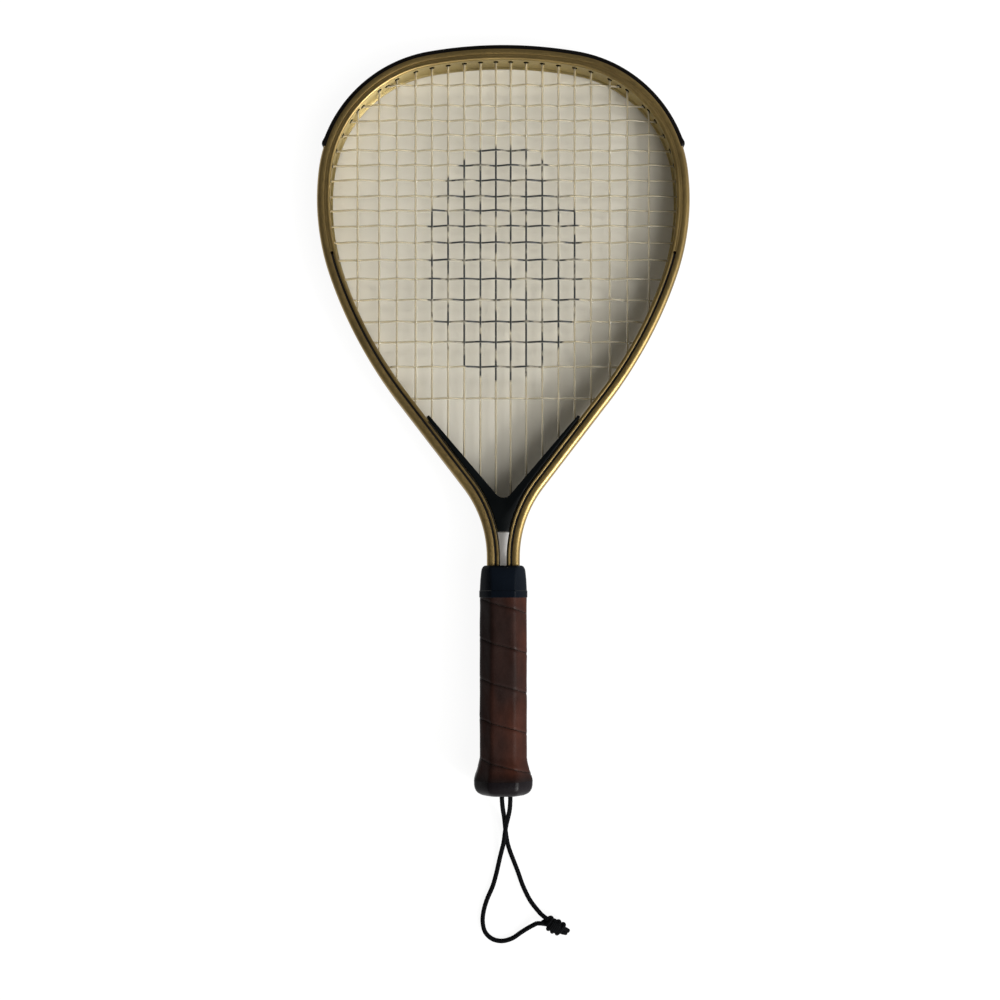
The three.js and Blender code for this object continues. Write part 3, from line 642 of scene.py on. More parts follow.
# The walls of the drilled holes get a dark brown colour: painted shade inside the holes.
HOLE = plastic("hole_shade", srgb(20, 13, 6), 0.8, 0.1)
YOKE = plastic("moulded_black", srgb(6, 8, 9), 0.32, 0.08)
GUARD = plastic("guard_black", srgb(7, 5, 4), 0.5, 0.09)
COLLAR = plastic("collar_black", srgb(7, 12, 19), 0.2, 0.1, 500, 0.00002)
BUTT = plastic("butt_black", srgb(16, 12, 15), 0.34, 0.12, 420, 0.00012)
STEEL, FOAM, LEATHER, BRAID, NYLON = steel(), foam(), leather(), braid(), nylon()


def dress(obj, *mats):
    obj.data.materials.clear()
    for mat in mats:
        obj.data.materials.append(mat)


def finish_piece(obj, slot, cad_node, *mats):
    """Dress a piece, let it ride on the root body and hide the CAD node it stands in for."""
    picks = [p.material_index for p in obj.data.polygons]
    dress(obj, *mats)
    for polygon, pick in zip(obj.data.polygons, picks):
        polygon.material_index = pick
    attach(obj, "root")
    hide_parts(cad_node)
    return obj


# -------- wrist cord
CORD_STEP = 0.0007
BRAID_SWELL = 0.00008
SHORT_EXIT = lay(-0.9, -CLEARANCE, 0)
LONG_EXIT = lay(4.3, -CLEARANCE, 0)
# The routes are in millimetres on the ground, not in the racket's own frame.
SHORT_ROUTE = [
    (-0.8, -233, 17.0), (-0.5, -237, 14.4), (-0.1, -240.6, 10.8), (0.4, -244.2, 7.0),
    (0.8, -248, 3.7), (1.2, -252.4, 1.9), (1.8, -257.4, 1.5), (2.8, -263, 1.5), (4.4, -268.2, 1.5),
    (6.8, -274.4, 1.5), (9.4, -281.2, 1.5), (12.4, -289.6, 1.5), (16.6, -298.2, 1.7),
    (20, -302.8, 2.6), (23.6, -306.8, 3.8),
]
LONG_ROUTE = [
    (4.3, -233, 17.2), (4.1, -237.4, 15.2), (3.6, -241.6, 12.2), (2.8, -245.6, 9.6),
    (1.9, -249.8, 7.4), (1.2, -254.2, 5.9), (0.7, -258.4, 5.1), (0.2, -261.9, 4.5),
    (-0.6, -265.4, 3.6), (-1.7, -270, 2.4), (-2.9, -275.4, 1.6), (-4.2, -281.2, 1.5),
    (-6.5, -289.4, 1.5), (-10.2, -298.2, 1.5), (-12.3, -305.4, 1.5), (-12.9, -312.6, 1.5),
    (-11.2, -319, 1.5), (-6.8, -323.1, 1.5), (-0.9, -324.4, 1.5), (5.6, -322.7, 1.5),
    (11.2, -318.9, 1.7), (16.4, -315.4, 2.6), (21, -312.6, 4.0),
]


def braid_swell(around, run):
    turn, wave = BRAID_STRANDS * around, run * 2 * math.pi / BRAID_LAY
    return BRAID_SWELL * math.sin(turn + wave) * math.sin(turn - wave)


def cord_piece(name, exit_point, route, cad_node):
    points = smooth_path([exit_point, *[Vector(p) * MM for p in route]], CORD_STEP)
    obj = tube_object(name, [tube(points, CORD * MM, 16, braid_swell)])
    return finish_piece(obj, "cord_braid", cad_node, BRAID), points


short_cord, short_points = cord_piece(
    "wrist_cord_short", SHORT_EXIT, SHORT_ROUTE, "cord_strand_short")
long_cord, long_points = cord_piece("wrist_cord_long", LONG_EXIT, LONG_ROUTE, "cord_strand_long")


KNOT_TURN = -26 * DEGREE
KNOT_CORE = 4.2
KNOT_CORE_TAPER = 2.6


def knot_piece():
    """A knot in the doubled cord: a small pass, a barrel of close passes and two short tails."""
    middle = (short_points[-1] + long_points[-1]) / 2
    axis = Vector((math.cos(KNOT_TURN), math.sin(KNOT_TURN), 0))
    side = Vector((-axis.y, axis.x, 0))
    base = Vector((middle.x, middle.y, 0))

    def at(a, s, z):
        """A place along the knot, across it and above the ground."""
        return base + (axis * a + side * s + Vector((0, 0, z))) * MM

    def passes(start, end, turns, across, high, s_middle, z_middle, phase):
        """Leaning turns of cord round the knot's axis, fuller in their middle."""
        points = []
        count = round(turns * 14)
        for i in range(count + 1):
            t = i / count
            angle = 2 * math.pi * turns * t + phase
            belly = math.sqrt(1 - 0.5 * (2 * t - 1) ** 2)
            lean = 0.4 * across * math.cos(angle)
            points.append(at(
                start + (end - start) * t + lean,
                s_middle + across * belly * math.cos(angle),
                z_middle + high * belly * math.sin(angle),
            ))
        return points

    routes = [
        [short_points[-1], at(2.6, 2.7, 4.8), at(5.4, 2.3, 5.6), at(8.4, 1.2, 5.2),
         at(12, 0.6, 4.4)],
        [long_points[-1], at(2.8, -2.0, 3.8), at(5.6, -1.2, 3.4), at(8.6, 0.2, 3.6),
         at(12, 0.4, 3.8)],
        passes(4.0, 7.2, 1.1, 2.7, 2.5, 1.2, 4.3, 2.4),
        passes(8.2, 12.4, 1.6, 3.6, 2.8, 0.4, 4.4, 0.2),
        passes(11.2, 16.2, 1.6, 3.7, 2.7, 0.0, 4.3, 0.5),
        [at(13, 1.2, 4.4), at(16.8, 1.25, 3.8), at(18.8, 1.1, 2.8), at(20.3, 0.7, 2.0)],
        [at(13, -1.0, 4.2), at(16.6, -1.3, 3.6), at(18.4, -1.15, 2.6), at(19.7, -0.9, 1.9)],
    ]
    core = [at(5.6, 1.0, 4.4), at(10.5, 0.4, 4.5), at(16.2, 0.1, 4.3)]
    core_run = lengths_of(core)[-1]
    tubes = [tube(smooth_path(route, CORD_STEP), CORD * 0.99 * MM, 14) for route in routes]
    tubes.append(tube(
        smooth_path(core, CORD_STEP), KNOT_CORE * MM, 14,
        lambda around, run: -KNOT_CORE_TAPER * MM * abs(2 * run / core_run - 1) ** 4,
    ))
    return finish_piece(tube_object("wrist_cord_knot", tubes), "cord_braid", "cord_knot", BRAID)


cord_knot = knot_piece()


# -------- strings
MAIN_SHARES = [0.043, 0.133, 0.227, 0.321, 0.415, 0.51, 0.619, 0.722, 0.847]
CROSS_SHARES = [
    0.0741, 0.1162, 0.1471, 0.1772, 0.2091, 0.24, 0.271, 0.3041, 0.3337,
    0.3659, 0.4, 0.436, 0.4754, 0.5186, 0.564, 0.6061, 0.6575, 0.7229,
]
CHANNEL = 4.0
CHANNEL_FLOOR = 5.5
SEAT = STRING + CLEARANCE
INNER_SEAT = CHANNEL_FLOOR - HALF + SEAT
OUTER_SEAT = CHANNEL - HALF - SEAT
CROSS_DEPTH = 2 * STRING + 0.45
STRING_TAIL = 7
EDGE_ZONE = 6           # from the bar, where a cross string stays below the mains
RUN_IN = 0.8            # straight stretch of a string at each end
MAIN_DIP = 0.3
CROSS_RISE = 1.08
YOKE_WEB = 20.7
YOKE_ARM = 49.3
YOKE_HALF_FOOT = 3.33
YOKE_EDGE = HALF + CLEARANCE

WIDEST = bisect(lambda s: math.cos(at_distance(s)[2]), 0, 0, SIDE_START)
INNER_HALF = on_frame(WIDEST, HALF)[0][0]
FOOT_LENGTH = bisect(lambda s: on_frame(s, YOKE_EDGE)[0][0], YOKE_HALF_FOOT, THROAT_START, LEG_START)
YOKE_FOOT = on_frame(FOOT_LENGTH, YOKE_EDGE)[0][1]
YOKE_CROTCH = YOKE_FOOT + YOKE_WEB
YOKE_TIP = YOKE_CROTCH + YOKE_ARM
MAINS = [-s * INNER_HALF for s in reversed(MAIN_SHARES)] + [s * INNER_HALF for s in MAIN_SHARES]
CROSSES = [LENGTH - s * (LENGTH - YOKE_FOOT) for s in CROSS_SHARES]
CENTRE = len(MAINS) // 2
IN_YOKE = (CENTRE - 1, CENTRE)


def string_end(length, depth):
    """Where a string goes through the bar: on its inner side and in the channel outside."""
    inner, outer = (Vector((*on_frame(length, seat)[0], depth)) for seat in (INNER_SEAT, OUTER_SEAT))
    return {"length": length, "inner": inner, "outer": outer, "depth": depth}


def main_end(place, low, high):
    s = bisect(lambda t: on_frame(t, INNER_SEAT)[0][0], abs(place), low, high)
    return string_end(math.copysign(s, place), 0)


def cross_ends(height):
    s = length_at_height(height, INNER_SEAT)
    return {"left": string_end(-s, -CROSS_DEPTH), "right": string_end(s, -CROSS_DEPTH)}


MAIN_ENDS = [{"top": main_end(p, 0, WIDEST), "bottom": main_end(p, WIDEST, LEG_START)} for p in MAINS]
CROSS_ENDS = [cross_ends(height) for height in CROSSES]


def rounded(points, radius=0.8):
    """A polyline whose marked corners are eased by short curves; points are (place, is corner)."""
    out = []
    for i, (point, is_corner) in enumerate(points):
        if is_corner:
            before = point + (points[i - 1][0] - point).normalized() * radius
            after = point + (points[i + 1][0] - point).normalized() * radius
            out += eased(before, point, after, 4)
        else:
            out.append(point)
    return out


def in_channel(length, depth):
    return Vector((*on_frame(length, OUTER_SEAT)[0], depth)), False


def channel(start, end):
    """The stretch along the channel from one hole to another."""
    way = end["length"] - start["length"]
    count = math.ceil(abs(way) / 4)
    return [in_channel(start["length"] + way * i / count, start["depth"]) for i in range(1, count)]


def tail(end, side):
    return in_channel(end["length"] + side * STRING_TAIL, end["depth"])


def through(end):
    """The two corners of a string that leaves the bed through the bar."""
    return [(end["inner"], True), (end["outer"], True)]


def is_over(i, j):
    """Whether cross string j passes over main i."""
    return (i + j) % 2 == 0 and abs(MAINS[i]) < CROSS_ENDS[j]["right"]["inner"].x - EDGE_ZONE


def crosses_at(i, j):
    ends = MAIN_ENDS[i]
    return ends["bottom"]["inner"].y < CROSSES[j] < ends["top"]["inner"].y


def woven(knots, step):
    """Points between places (run, height) with smooth half waves; knots are sorted."""
    out = []
    for (a, za), (b, zb) in zip(knots, knots[1:]):
        count = max(2, math.ceil(abs(b - a) / step))
        for n in range(count):
            t = n / count
            out.append((a + (b - a) * t, za + (zb - za) * (1 - math.cos(math.pi * t)) / 2))
    return [*out, knots[-1]]


def main_course(i):
    """One long string from the top of the bed to its foot."""
    ends = MAIN_ENDS[i]
    knots = [(ends["top"]["inner"].y - RUN_IN, 0.0)]
    for j, height in enumerate(CROSSES):
        if crosses_at(i, j):
            knots.append((height, -MAIN_DIP if is_over(i, j) else MAIN_DIP))
    knots.append((YOKE_CROTCH if i in IN_YOKE else ends["bottom"]["inner"].y + RUN_IN, 0.0))
    points = [Vector((MAINS[i], y, z)) for y, z in woven(knots, 2.0)]
    if i in IN_YOKE:
        points.append(Vector((math.copysign(2.2, MAINS[i]), YOKE_FOOT + 2.2, 0)))
    return [(p, False) for p in points]


def cross_course(j):
    """One cross string from left to right, over and under the long ones."""
    left, right = CROSS_ENDS[j]["left"]["inner"], CROSS_ENDS[j]["right"]["inner"]
    knots = [(left.x + RUN_IN, left.z)]
    for i, place in enumerate(MAINS):
        if crosses_at(i, j):
            below = -CROSS_DEPTH if abs(place) > right.x - EDGE_ZONE else -CROSS_RISE
            knots.append((place, CROSS_RISE if is_over(i, j) else below))
    knots.append((right.x - RUN_IN, right.z))
    return [(Vector((x, CROSSES[j], z)), False) for x, z in woven(knots, 1.4)]


def laced(ends, first, last, course, tail_side, turning=()):
    """One length laced to and fro through the bar; two turning courses meet inside the yoke."""
    points = [tail(ends[0][first], -1)]
    for i, own in enumerate(ends):
        way = through(own[first])[::-1] + course(i)
        if i not in turning:
            way += through(own[last])
        forth = i % 2 == 0
        side = last if forth else first
        points += way if forth else way[::-1]
        if i + 1 < len(ends) and not (forth and i in turning):
            points += channel(own[side], ends[i + 1][side])
    points.append(tail(ends[-1][first], tail_side))
    return rounded(points)


def mark_web_shade(mesh):
    """Mark the string inside the holes of the bar's web, where its colour is painted dark as shade.
    """
    count = round(2 * REACH / 0.5)
    marks = [REACH * (2 * i / count - 1) for i in range(count + 1)]
    places = [(lay(*place, 0), SPIN @ Vector((*inward, 0))) for place, inward in map(on_frame, marks)]
    layer = mesh.attributes.new("web_shade", "FLOAT", "POINT")
    for vertex, item, nearest in zip(mesh.vertices, layer.data, nearest_places(mesh, marks)):
        here, inward = places[nearest]
        item.value = 1.0 if -0.3 < (vertex.co - here).dot(inward) / MM < 2.9 else 0.0


def string_piece(name, path, cad_node):
    points = [lay(*p) for p in path]
    clean = [points[0]]
    for p in points[1:]:
        if (p - clean[-1]).length > 0.08 * MM:
            clean.append(p)
    obj = tube_object(name, [tube(clean, STRING * MM, 10)])
    mark_web_shade(obj.data)
    finish_piece(obj, "string_nylon", cad_node, NYLON)


main_path = laced(MAIN_ENDS, "top", "bottom", main_course, 1, IN_YOKE)
string_piece("long_strings", main_path, "main_string")
cross_path = laced(CROSS_ENDS, "left", "right", cross_course, -1)
string_piece("woven_strings", cross_path, "cross_string")


# -------- frame bar
BAR_HALF = DEPTH / 2
WEB_FACE = 6.8
STRIPE_INSET = 5.4
STRIPE_TOP = length_at_height(LENGTH - 127.1, STRIPE_INSET - HALF)
BRIDGE_TOP = length_at_height(YOKE_TIP, HALF)
GROOVE_TOP = 8.85
HOLE_RADIUS = 1.65
HOLE_RISE = 1.05
STRIPE_HOLE = 0.95
BAR_SMOOTH = 35


def bar_section(s):
    """The bar's section; its groove is shallow round the head and deep where it is lined."""
    shallow = 1 - ease((abs(s) - STRIPE_TOP + 1) / 3)
    side, floor = 8.5 + 0.33 * shallow, 8.35 + 0.5 * shallow
    return mirror_section(
        [(CHANNEL, 3.2)]
        + arc(0.35, 3.55, 0.35, 270, 180, 3)
        + arc(CORNER, BAR_HALF - CORNER, CORNER, 180, 90, 9)
        + arc(4.5, GROOVE_TOP, 0.15, 90, 0, 2)
        + [(4.65, side), (4.75, floor), (5.9, floor), (6.0, side)]
        + arc(6.15, 8.8, 0.15, 180, 90, 2)
        + arc(6.95, 7.8, 1.15, 90, 0, 7)
        + arc(7.4, 7.65, 0.7, 0, -90, 4)
        + [(WEB_FACE + 0.2, 6.85), (WEB_FACE, 6.5)]
    )


SECTION = bar_section(REACH)


def bar_pick(k, middle):
    """The material slot of face k at a length: gold, black-lined groove, the inner rim beside the
    yoke in black as a painted reflection of it, or inner wall.
    """
    a, b = SECTION[k], SECTION[(k + 1) % len(SECTION)]
    inset, height = (a[0] + b[0]) / 2, abs(a[1] + b[1]) / 2
    groove = 4.6 <= inset <= 6.05 and 8.2 < height < 8.75
    # Beside the yoke the rounded inner rim takes the black material: a painted dark reflection of the
    # yoke.
    rim = inset > 7.2 and height >= 8.2
    if groove and abs(middle) > STRIPE_TOP or rim and abs(middle) > BRIDGE_TOP:
        return 1
    return 2 if inset > 6.6 and height < 8.2 else 0


def rod(middle, direction, radius, length, sides=16):
    """A closed rod through a place, for cutting."""
    direction = direction.normalized()
    side = direction.cross(Vector((0, 0.3, 1))).normalized()
    up = side.cross(direction)
    verts = [
        lay(*(middle + direction * (length * end) + (side * math.cos(a) + up * math.sin(a)) * radius))
        for end in (-0.5, 0.5) for a in angles(sides)
    ]
    return verts, skin(sides, 2, flip=True)


def drills():
    """Rods for the string holes in the web and the small holes where the dark line starts."""
    ends = [e["top"] for e in MAIN_ENDS]
    ends += [e["bottom"] for i, e in enumerate(MAIN_ENDS) if i not in IN_YOKE]
    ends += [e[s] for e in CROSS_ENDS for s in ("left", "right")]
    rods = []
    for end in ends:
        (x, y), inward = on_frame(end["length"], (CHANNEL + WEB_FACE) / 2 - HALF)
        middle = Vector((x, y, end["depth"] + HOLE_RISE))
        rods.append(rod(middle, Vector((*inward, 0)), HOLE_RADIUS, 5.0))
    for side, face in ((-1, -1), (-1, 1), (1, -1), (1, 1)):
        x, y = on_frame(side * STRIPE_TOP, STRIPE_INSET - HALF)[0]
        middle = Vector((x, y, face * BAR_HALF))
        rods.append(rod(middle, Vector((0, 0, 1)), STRIPE_HOLE, 3.4, 20))
    cutter = joined("drills", rods)
    # The holes' walls take the painted shade colour.
    cutter.data.materials.append(HOLE)
    return cutter


def mark_along(mesh):
    """Store the bar's own direction at each point, for the drawn lines of its inner wall."""
    marks = stations(-REACH, REACH, 2)
    ways = []
    for (x, y), inward in map(on_frame, marks):
        ways.append((lay(x - inward[1], y + inward[0], 0) - lay(x, y, 0)).normalized())
    layer = mesh.attributes.new("along", "FLOAT_VECTOR", "POINT")
    for item, nearest in zip(layer.data, nearest_places(mesh, marks)):
        item.vector = ways[nearest]


bar = sweep("frame_bar", bar_section, stations(-REACH, REACH), bar_pick, BAR_SMOOTH)
finish_piece(bar, "gold_aluminium", "frame", GOLD, STRIPE, WALL, HOLE)
carve(bar, drills(), BAR_SMOOTH, use_self=True, material_mode="TRANSFER")
mark_along(bar.data)


# -------- head guard
GUARD_REACH = length_at_height(LENGTH - 61.6, -HALF)
GUARD_LIP = 66
GUARD_FULL = 26
GUARD_STEPS = 12
GUARD_CENTRE = 6.4
GUARD_INNER = 2.63


def guard_section(s):
    """Round the bar's outer edge, thin at its lips; each end swells and rounds off."""
    left = GUARD_REACH - abs(s)
    end = max(0, min(1, left / 1.1))
    proud = 1 + 0.35 * math.exp(-((left - 2.2) / 1.6) ** 2)
    proud *= 0.08 + 0.92 * math.sqrt(end * (2 - end))
    turns = [GUARD_LIP * i / GUARD_STEPS for i in range(GUARD_STEPS + 1)]
    sizes = []
    for angle in turns:
        fall = 1 - ease((angle - GUARD_FULL) / (GUARD_LIP - GUARD_FULL))
        sizes.append((angle * DEGREE, 2.68 + 1.25 * proud * (0.07 + 0.93 * fall)))
    sizes += [(angle * DEGREE, GUARD_INNER) for angle in reversed(turns)]
    upper = [(CORNER - r * math.cos(a), GUARD_CENTRE + r * math.sin(a)) for a, r in sizes]
    return mirror_section(upper + [(-0.03, 2.7), (0.9, 2.7), (1.0, 2.5)])


guard_ends = [GUARD_REACH - d for d in (0.2, 0.5, 0.9, 1.4, 2.2, 3.2, 4.4, 6)]
guard_marks = {*stations(-GUARD_REACH, GUARD_REACH), *guard_ends, *(-s for s in guard_ends)}
guard = sweep("head_guard_strip", guard_section, sorted(guard_marks), smooth_angle=50)
finish_piece(guard, "black_plastic", "head_guard", GUARD)


# -------- yoke
YOKE_TIP_THICK = 1.8
CROTCH_RADIUS = 5.5
TONGUE_HALF = 6.5
TONGUE_DROP = 1.5


def edge_points(offset, highest, lowest):
    start, end = length_at_height(highest, offset), length_at_height(lowest, offset)
    return [on_frame(start + (end - start) * i / 26, offset)[0] for i in range(27)]


def yoke_outline(inset):
    """The bridge's outline seen from the front, drawn in by an inset."""
    offset = YOKE_EDGE + inset
    edge = edge_points(offset, YOKE_TIP - inset, YOKE_FOOT + inset)
    tip_length = length_at_height(YOKE_TIP - inset, offset)
    tip = on_frame(tip_length, offset + YOKE_TIP_THICK - 2 * inset)[0]
    centre, radius = YOKE_CROTCH + CROTCH_RADIUS, CROTCH_RADIUS + inset
    reach = math.hypot(tip[0], tip[1] - centre)
    touch = math.atan2(tip[1] - centre, tip[0]) - math.acos(radius / reach)
    right = arc(0, centre, radius, -90, touch / DEGREE, 8)
    x, y = right[-1]
    right += [(x + (tip[0] - x) * i / 12, y + (tip[1] - y) * i / 12) for i in range(1, 13)]
    right += edge
    return right + [(-x, y) for x, y in reversed(right[1:])]


def yoke_shell():
    """Flat faces with softly rounded edges; levels are (inset, height)."""
    upper = [(0.0, 7.3), (0.08, 7.65), (0.25, 7.9), (0.5, 8.0)]
    levels = [(inset, -height) for inset, height in reversed(upper)] + upper
    rings = [(yoke_outline(inset), height) for inset, height in levels]
    verts = [lay(x, y, height) for outline, height in rings for x, y in outline]
    return verts, skin(len(rings[0][0]), len(rings))


def yoke_tongue(side):
    """The part of an arm that fills the bar's inner side."""
    outer, inner = (
        edge_points(offset, YOKE_TIP - TONGUE_DROP, YOKE_FOOT)
        for offset in (WEB_FACE - HALF + 0.2, HALF + 1.0)
    )
    verts = []
    for a, b in zip(outer, inner):
        for (x, y), level in ((a, -1), (b, -1), (b, 1), (a, 1)):
            verts.append(lay(side * x, y, level * TONGUE_HALF))
    return verts, skin(4, len(outer))


yoke = joined("throat_bridge", [yoke_shell(), yoke_tongue(-1), yoke_tongue(1)], 35)
face_outward(yoke.data)
finish_piece(yoke, "black_plastic", "yoke", YOKE)


# -------- handle
GRIP_ROUND = 4.2
FLARE_TOP = 24
FLARE_KNEE = 17


def rounded_octagon(half_x, half_z, bevel, radius):
    """Points round an octagon with eased corners, from the right side to the back."""
    flat_x, flat_z = half_x - bevel, half_z - bevel
    raw = [(half_x, flat_z), (half_x, -flat_z), (flat_x, -half_z), (-flat_x, -half_z),
           (-half_x, -flat_z), (-half_x, flat_z), (-flat_x, half_z), (flat_x, half_z)]
    out = []
    for i, corner in enumerate(raw):
        here = Vector(corner)
        before = Vector(raw[i - 1]) - here
        after = Vector(raw[(i + 1) % 8]) - here
        reach = min(radius * math.tan(22.5 * DEGREE), before.length * 0.45, after.length * 0.45)
        out += eased(here + before.normalized() * reach, here, here + after.normalized() * reach, 4)
    return out


def grip_sizes(spread):
    """Half width, half depth and bevel of the grip's octagon, grown on every side."""
    bevel = GRIP_BEVEL + spread * (2 - math.sqrt(2))
    return GRIP_WIDTH / 2 + spread, GRIP_DEPTH / 2 + spread, bevel


def flare(y):
    """How far the grip's faces stand out near the butt."""
    if y >= FLARE_TOP:
        return 0.0
    if y >= FLARE_KNEE:
        return 1.3 * ((FLARE_TOP - y) / 7) ** 1.6
    return 1.3 + 2.2 * ease((FLARE_KNEE - y) / 8.2) ** 0.9


def lathe_rings(levels, radius):
    """A closed skin through eased octagons; levels are (height, half width, half depth, bevel)."""
    verts = []
    for y, *sizes in levels:
        ring = rounded_octagon(*sizes, radius)
        verts += [lay(p.x, y, p.y) for p in ring]
    return verts, skin(len(ring), len(levels))


STRIP_PITCH = 24.4
STRIP_WIDTH = 24.1
STRIP_LEAD = 27.4
STRIP_CELLS = 26
WRAP_TOP = COLLAR_FOOT - CLEARANCE


def strip_profile():
    """Across the strip: (share, how far it stands out, how dark its seam is)."""
    out = []
    for n in range(STRIP_CELLS + 1):
        v = n / STRIP_CELLS
        edge = min(v, 1 - v) * STRIP_WIDTH
        drop = 0.36 * math.exp(-(edge / 0.45) ** 2)
        lift = 0.05 * math.exp(-((edge - 1.6) / 1.2) ** 2)
        out.append((v, lift - drop, math.exp(-(edge / 0.55) ** 2)))
    return out


def leather_strip():
    """One wound strip with turned-down edges, soft creases and a slightly proud lower edge."""
    ring0 = rounded_octagon(*grip_sizes(0), GRIP_ROUND)
    counts = [max(1, round((b - a).length / 1.5)) for a, b in zip(ring0, ring0[1:] + ring0[:1])]

    def dense(ring):
        """More points along each flat, so the leather can crease."""
        out = []
        for (a, b), count in zip(zip(ring, ring[1:] + ring[:1]), counts):
            out += [a + (b - a) * n / count for n in range(count)]
        return out

    plain = dense(ring0)
    total = len(plain)
    runs = lengths_of([*plain, plain[0]])
    rings_by_spread = {}

    def ring_point(k, spread):
        if spread not in rings_by_spread:
            rings_by_spread[spread] = dense(rounded_octagon(*grip_sizes(spread), GRIP_ROUND))
        return rings_by_spread[spread][k]

    profile = strip_profile()
    turns = math.ceil((WRAP_TOP - WRAP_BOTTOM) / STRIP_PITCH) + 2
    verts, faces, seams = [], [], []
    for n in range(turns * total + 1):
        k = n % total
        middle = WRAP_TOP + STRIP_LEAD - STRIP_PITCH * (n // total + runs[k] / runs[-1])
        for v, stand, seam in profile:
            y = max(WRAP_BOTTOM, min(WRAP_TOP, middle + STRIP_WIDTH * (0.5 - v)))
            p = ring_point(k, round(flare(y), 2))
            out = p.normalized()
            wave = noise.noise(Vector((p.x * 0.11, y * 0.06, p.y * 0.11))) * 0.22
            fold = noise.noise(Vector((p.x * 0.3 + 7, y * 0.16 + p.x * 0.12, p.y * 0.3))) * 0.1
            shift = stand + wave + fold - 0.12
            verts.append(lay(p.x + out.x * shift, y, p.y + out.y * shift))
            seams.append(seam)
    row = STRIP_CELLS + 1
    for n in range(turns * total):
        for a in range(n * row, n * row + STRIP_CELLS):
            quad = (a, a + 1, a + row + 1, a + row)
            heights = {round(verts[q].y, 7) for q in quad}
            if len(heights) > 1 and len({tuple(round(v, 7) for v in verts[q]) for q in quad}) > 2:
                faces.append(quad)
    obj = mesh_object("leather_wrap", verts, faces, 60)
    layer = obj.data.attributes.new("seam", "FLOAT", "POINT")
    for item, value in zip(layer.data, seams):
        item.value = value
    edit_mesh(obj.data, lambda work: bmesh.ops.delete(
        work, geom=[v for v in work.verts if not v.link_faces], context="VERTS"))
    finish_piece(obj, "leather", "grip_wrap", LEATHER)


leather_strip()

# A tight sleeve: a band below, a long face and a rounded shoulder round the legs. Rows are height
# above the foot, half width, half depth and bevel.
COLLAR_LEVELS = [
    (-0.35, 14.5, 14.0, 7.3), (-0.1, 14.75, 14.25, 7.4), (3.6, 14.75, 14.25, 7.4),
    (4.0, 14.45, 13.95, 7.25), (10.5, 14.1, 13.6, 6.7), (15.5, 13.6, 13.1, 5.9),
    (17.2, 13.25, 12.75, 5.3), (18.3, 12.6, 12.0, 4.3), (18.95, 11.9, 11.2, 3.2),
    (19.2, 11.2, 10.4, 2.3),
]
collar_levels = [(COLLAR_FOOT + y, *sizes) for y, *sizes in COLLAR_LEVELS]
collar = joined("grip_collar", [lathe_rings(collar_levels, 3.2)], 28)
finish_piece(collar, "black_plastic", "collar", COLLAR)

# Share of the cap's length, and how far it stands out from the grip
CAP_SPREADS = [
    (0.0, -5.2), (0.0, -2.9), (0.03, -1.7), (0.1, -0.2), (0.2, 1.2), (0.34, 2.3), (0.52, 3.05),
    (0.75, 3.42), (1.035, 3.46), (1.035, 1.5),
]
SLOT_HALF = 4.2
SLOT_RADIUS = 2.0
TACK_PLACE = (9.4, 4.4)
TACK_HOLE = 1.95
CAP_SMOOTH = 40


def plug(low, high, ring):
    """A closed prism along the handle, from (x, z) places, for cutting."""
    return [lay(x, y, z) for y in (low, high) for x, z in ring], skin(len(ring), 2)


def butt_piece():
    """The cap, with the cord's slot and the two tack holes cut in its face."""
    levels = [(share * CAP_LENGTH, *grip_sizes(spread)) for share, spread in CAP_SPREADS]
    obj = joined("butt_end", [lathe_rings(levels, 4.6)], CAP_SMOOTH)
    slot = [
        (math.copysign(SLOT_HALF, math.cos(a)) + SLOT_RADIUS * math.cos(a), SLOT_RADIUS * math.sin(a))
        for a in angles(24)
    ]
    cuts = [plug(-1.0, 2.4, slot)]
    for side in (-1, 1):
        x, z = side * TACK_PLACE[0], side * TACK_PLACE[1]
        ring = [(x + TACK_HOLE * math.cos(a), z + TACK_HOLE * math.sin(a)) for a in angles(20)]
        cuts.append(plug(-1.0, 1.0, ring))
    cutter = joined("butt_cuts", cuts)
    for item in (obj, cutter):
        face_outward(item.data)
    finish_piece(obj, "black_plastic", "butt_cap", BUTT)
    carve(obj, cutter, CAP_SMOOTH)


butt_piece()

# -------- carried-over nodes
for mat, names in (
    (FOAM, ("pallet_front", "pallet_back")),
    (STEEL, ("handle_rivet_upper", "handle_rivet_lower")),
    (STEEL, ("butt_tack_front", "butt_tack_back", "cord_pin")),
    (BRAID, ("cord_bight",)),
):
    for name in names:
        dress(bpy.data.objects[name], mat)


# -------- ground and light
GROUND_HALF = 6.0
WHITE_SHARE = 0.87      # of the white floor that is its own light, which keeps the rest for shadow
WHITE_GLOW = 1.06


def matte(name, scale, detail, dark, light):
    """A dull, faintly uneven look, and its colour."""
    look = new_look(name)
    tone = look.ramp(look.noise(scale, detail), (0.3, srgb(*dark)), (0.7, srgb(*light)))
    look.finish({"Base Color": tone, "Roughness": 0.9, "Specular IOR Level": 0.1})
    return look, tone


def plate(name, look, rim, height):
    """A flat piece of ground."""
    obj = mesh_object(name, [(x, y, height) for x, y in rim], [tuple(range(len(rim)))])
    dress(obj, look.owner)


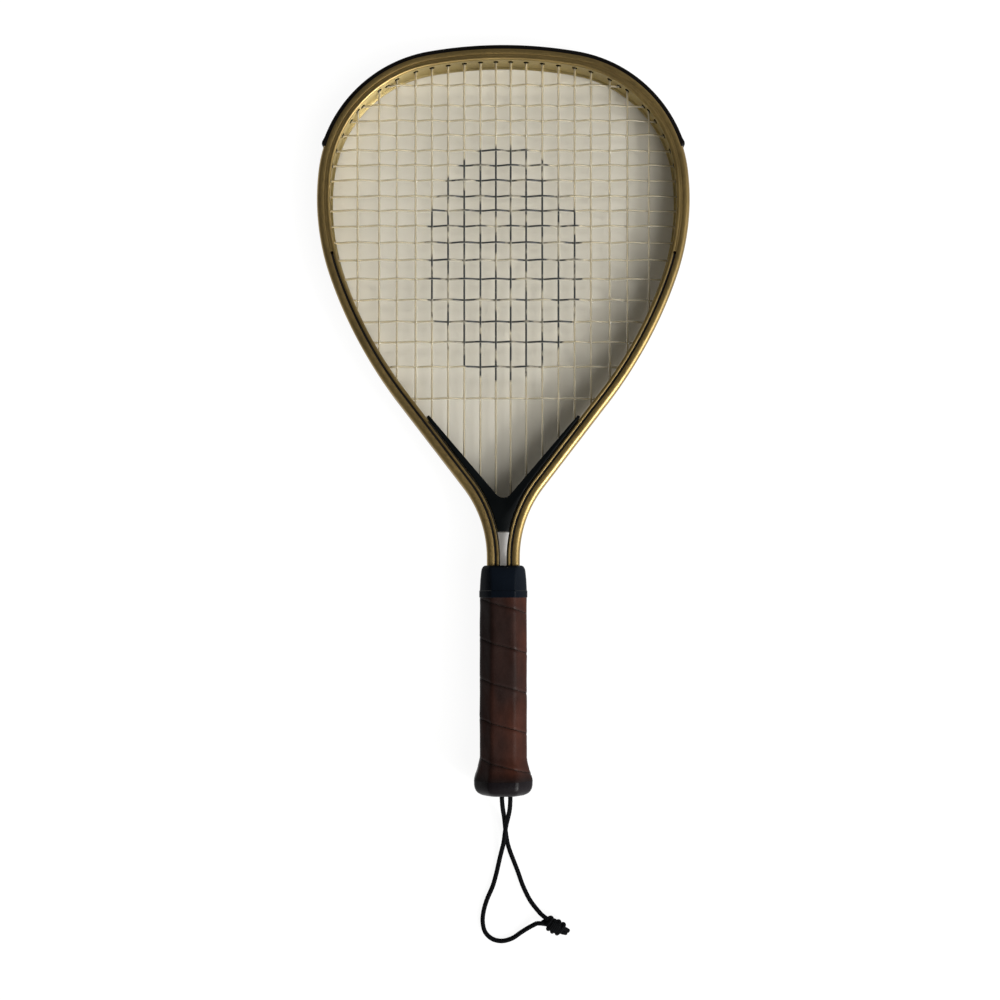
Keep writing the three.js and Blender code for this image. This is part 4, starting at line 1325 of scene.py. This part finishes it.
def grounds():
    """White ground that keeps a soft shadow, warmer ground inside the head, and pale grey ground in
    the throat with a faint painted glow.
    """
    white, tone = matte("white_ground", 30, 2, (246, 246, 245), (250, 250, 249))
    rays = white.add("LightPath").outputs
    bright = white.maths("MAXIMUM", rays["Is Glossy Ray"], rays["Is Transmission Ray"])
    seen = white.maths("MAXIMUM", rays["Is Camera Ray"], bright)
    white.finish({"Base Color": white.mix(rays["Is Camera Ray"], (0.16, 0.16, 0.165), tone)})
    glow = white.fill(white.add("Emission"), {"Color": (1, 1, 1, 1), "Strength": WHITE_GLOW})
    surface = white.fill(white.add("MixShader"), {
        "Fac": white.times(seen, WHITE_SHARE), 1: white.shader.outputs["BSDF"],
        2: glow.outputs["Emission"],
    })
    white.fill(white.tree.nodes["Material Output"], {"Surface": surface.outputs["Shader"]})
    s = GROUND_HALF
    plate("ground", white, [(-s, -s), (s, -s), (s, s), (-s, s)], -0.0002)

    warm, _ = matte("warm_ground", 18, 3, (199, 195, 183), (208, 204, 192))
    foot = length_at_height(YOKE_FOOT + 8, 0)
    rim = [lay(*on_frame(s, 0)[0], 0).xy for s in reversed(stations(-foot, foot, 5))]
    plate("ground_inside_head", warm, rim, -0.0001)

    grey, _ = matte("throat_ground_glow", 40, 3, (240, 241, 243), (250, 251, 253))
    # A faint glow lifts the shade between the legs: painted light.
    grey.finish({"Emission Color": (1, 1, 1, 1), "Emission Strength": 0.08})
    low, high = LEG_TOP - 20, YOKE_FOOT + 7
    rim = [lay(x, y, 0).xy for x, y in ((-6, low), (6, low), (10, high), (-10, high))]
    plate("ground_in_throat", grey, rim, -0.00005)


def world_light():
    """Dim room, a little brighter toward the window at the lower right."""
    world = bpy.data.worlds.new("studio")
    bpy.context.scene.world = world
    sky = Nodes(world)
    place = sky.split(sky.place("Generated"))
    toward = sky.minus(sky.times(place["X"], 0.81), sky.times(place["Y"], 0.59))
    tone = sky.ramp(
        sky.plus(sky.times(toward, 0.5), 0.5), (0.1, (0.08, 0.079, 0.076)),
        (0.4, (0.19, 0.186, 0.176)), (0.55, (0.29, 0.285, 0.27)), (0.9, (0.36, 0.355, 0.34)),
    )
    level = sky.ramp(place["Z"], (0.0, 0.4), (0.3, 1.0), (0.65, 1.0), (0.92, 0.32))
    sky.fill(sky.tree.nodes["Background"], {
        "Color": sky.mix(level, (0.0, 0.0, 0.0), tone), "Strength": 1.85,
    })


def sun(name, azimuth, elevation, spread, power, colour):
    data = bpy.data.lights.new(name, "SUN")
    data.energy = power
    data.angle = spread * DEGREE
    data.color = colour
    around, up = azimuth * DEGREE, elevation * DEGREE
    toward = Vector((math.cos(around) * math.cos(up), math.sin(around) * math.cos(up), math.sin(up)))
    new_object(name, data).rotation_euler = toward.to_track_quat("Z", "Y").to_euler()


grounds()
world_light()
sun("window", -36, 34, 12, 1.5, (1.0, 0.99, 0.965))
sun("window_sky", -36, 42, 52, 2.6, (1.0, 0.995, 0.985))

bpy.context.scene.view_settings.view_transform = "Standard"
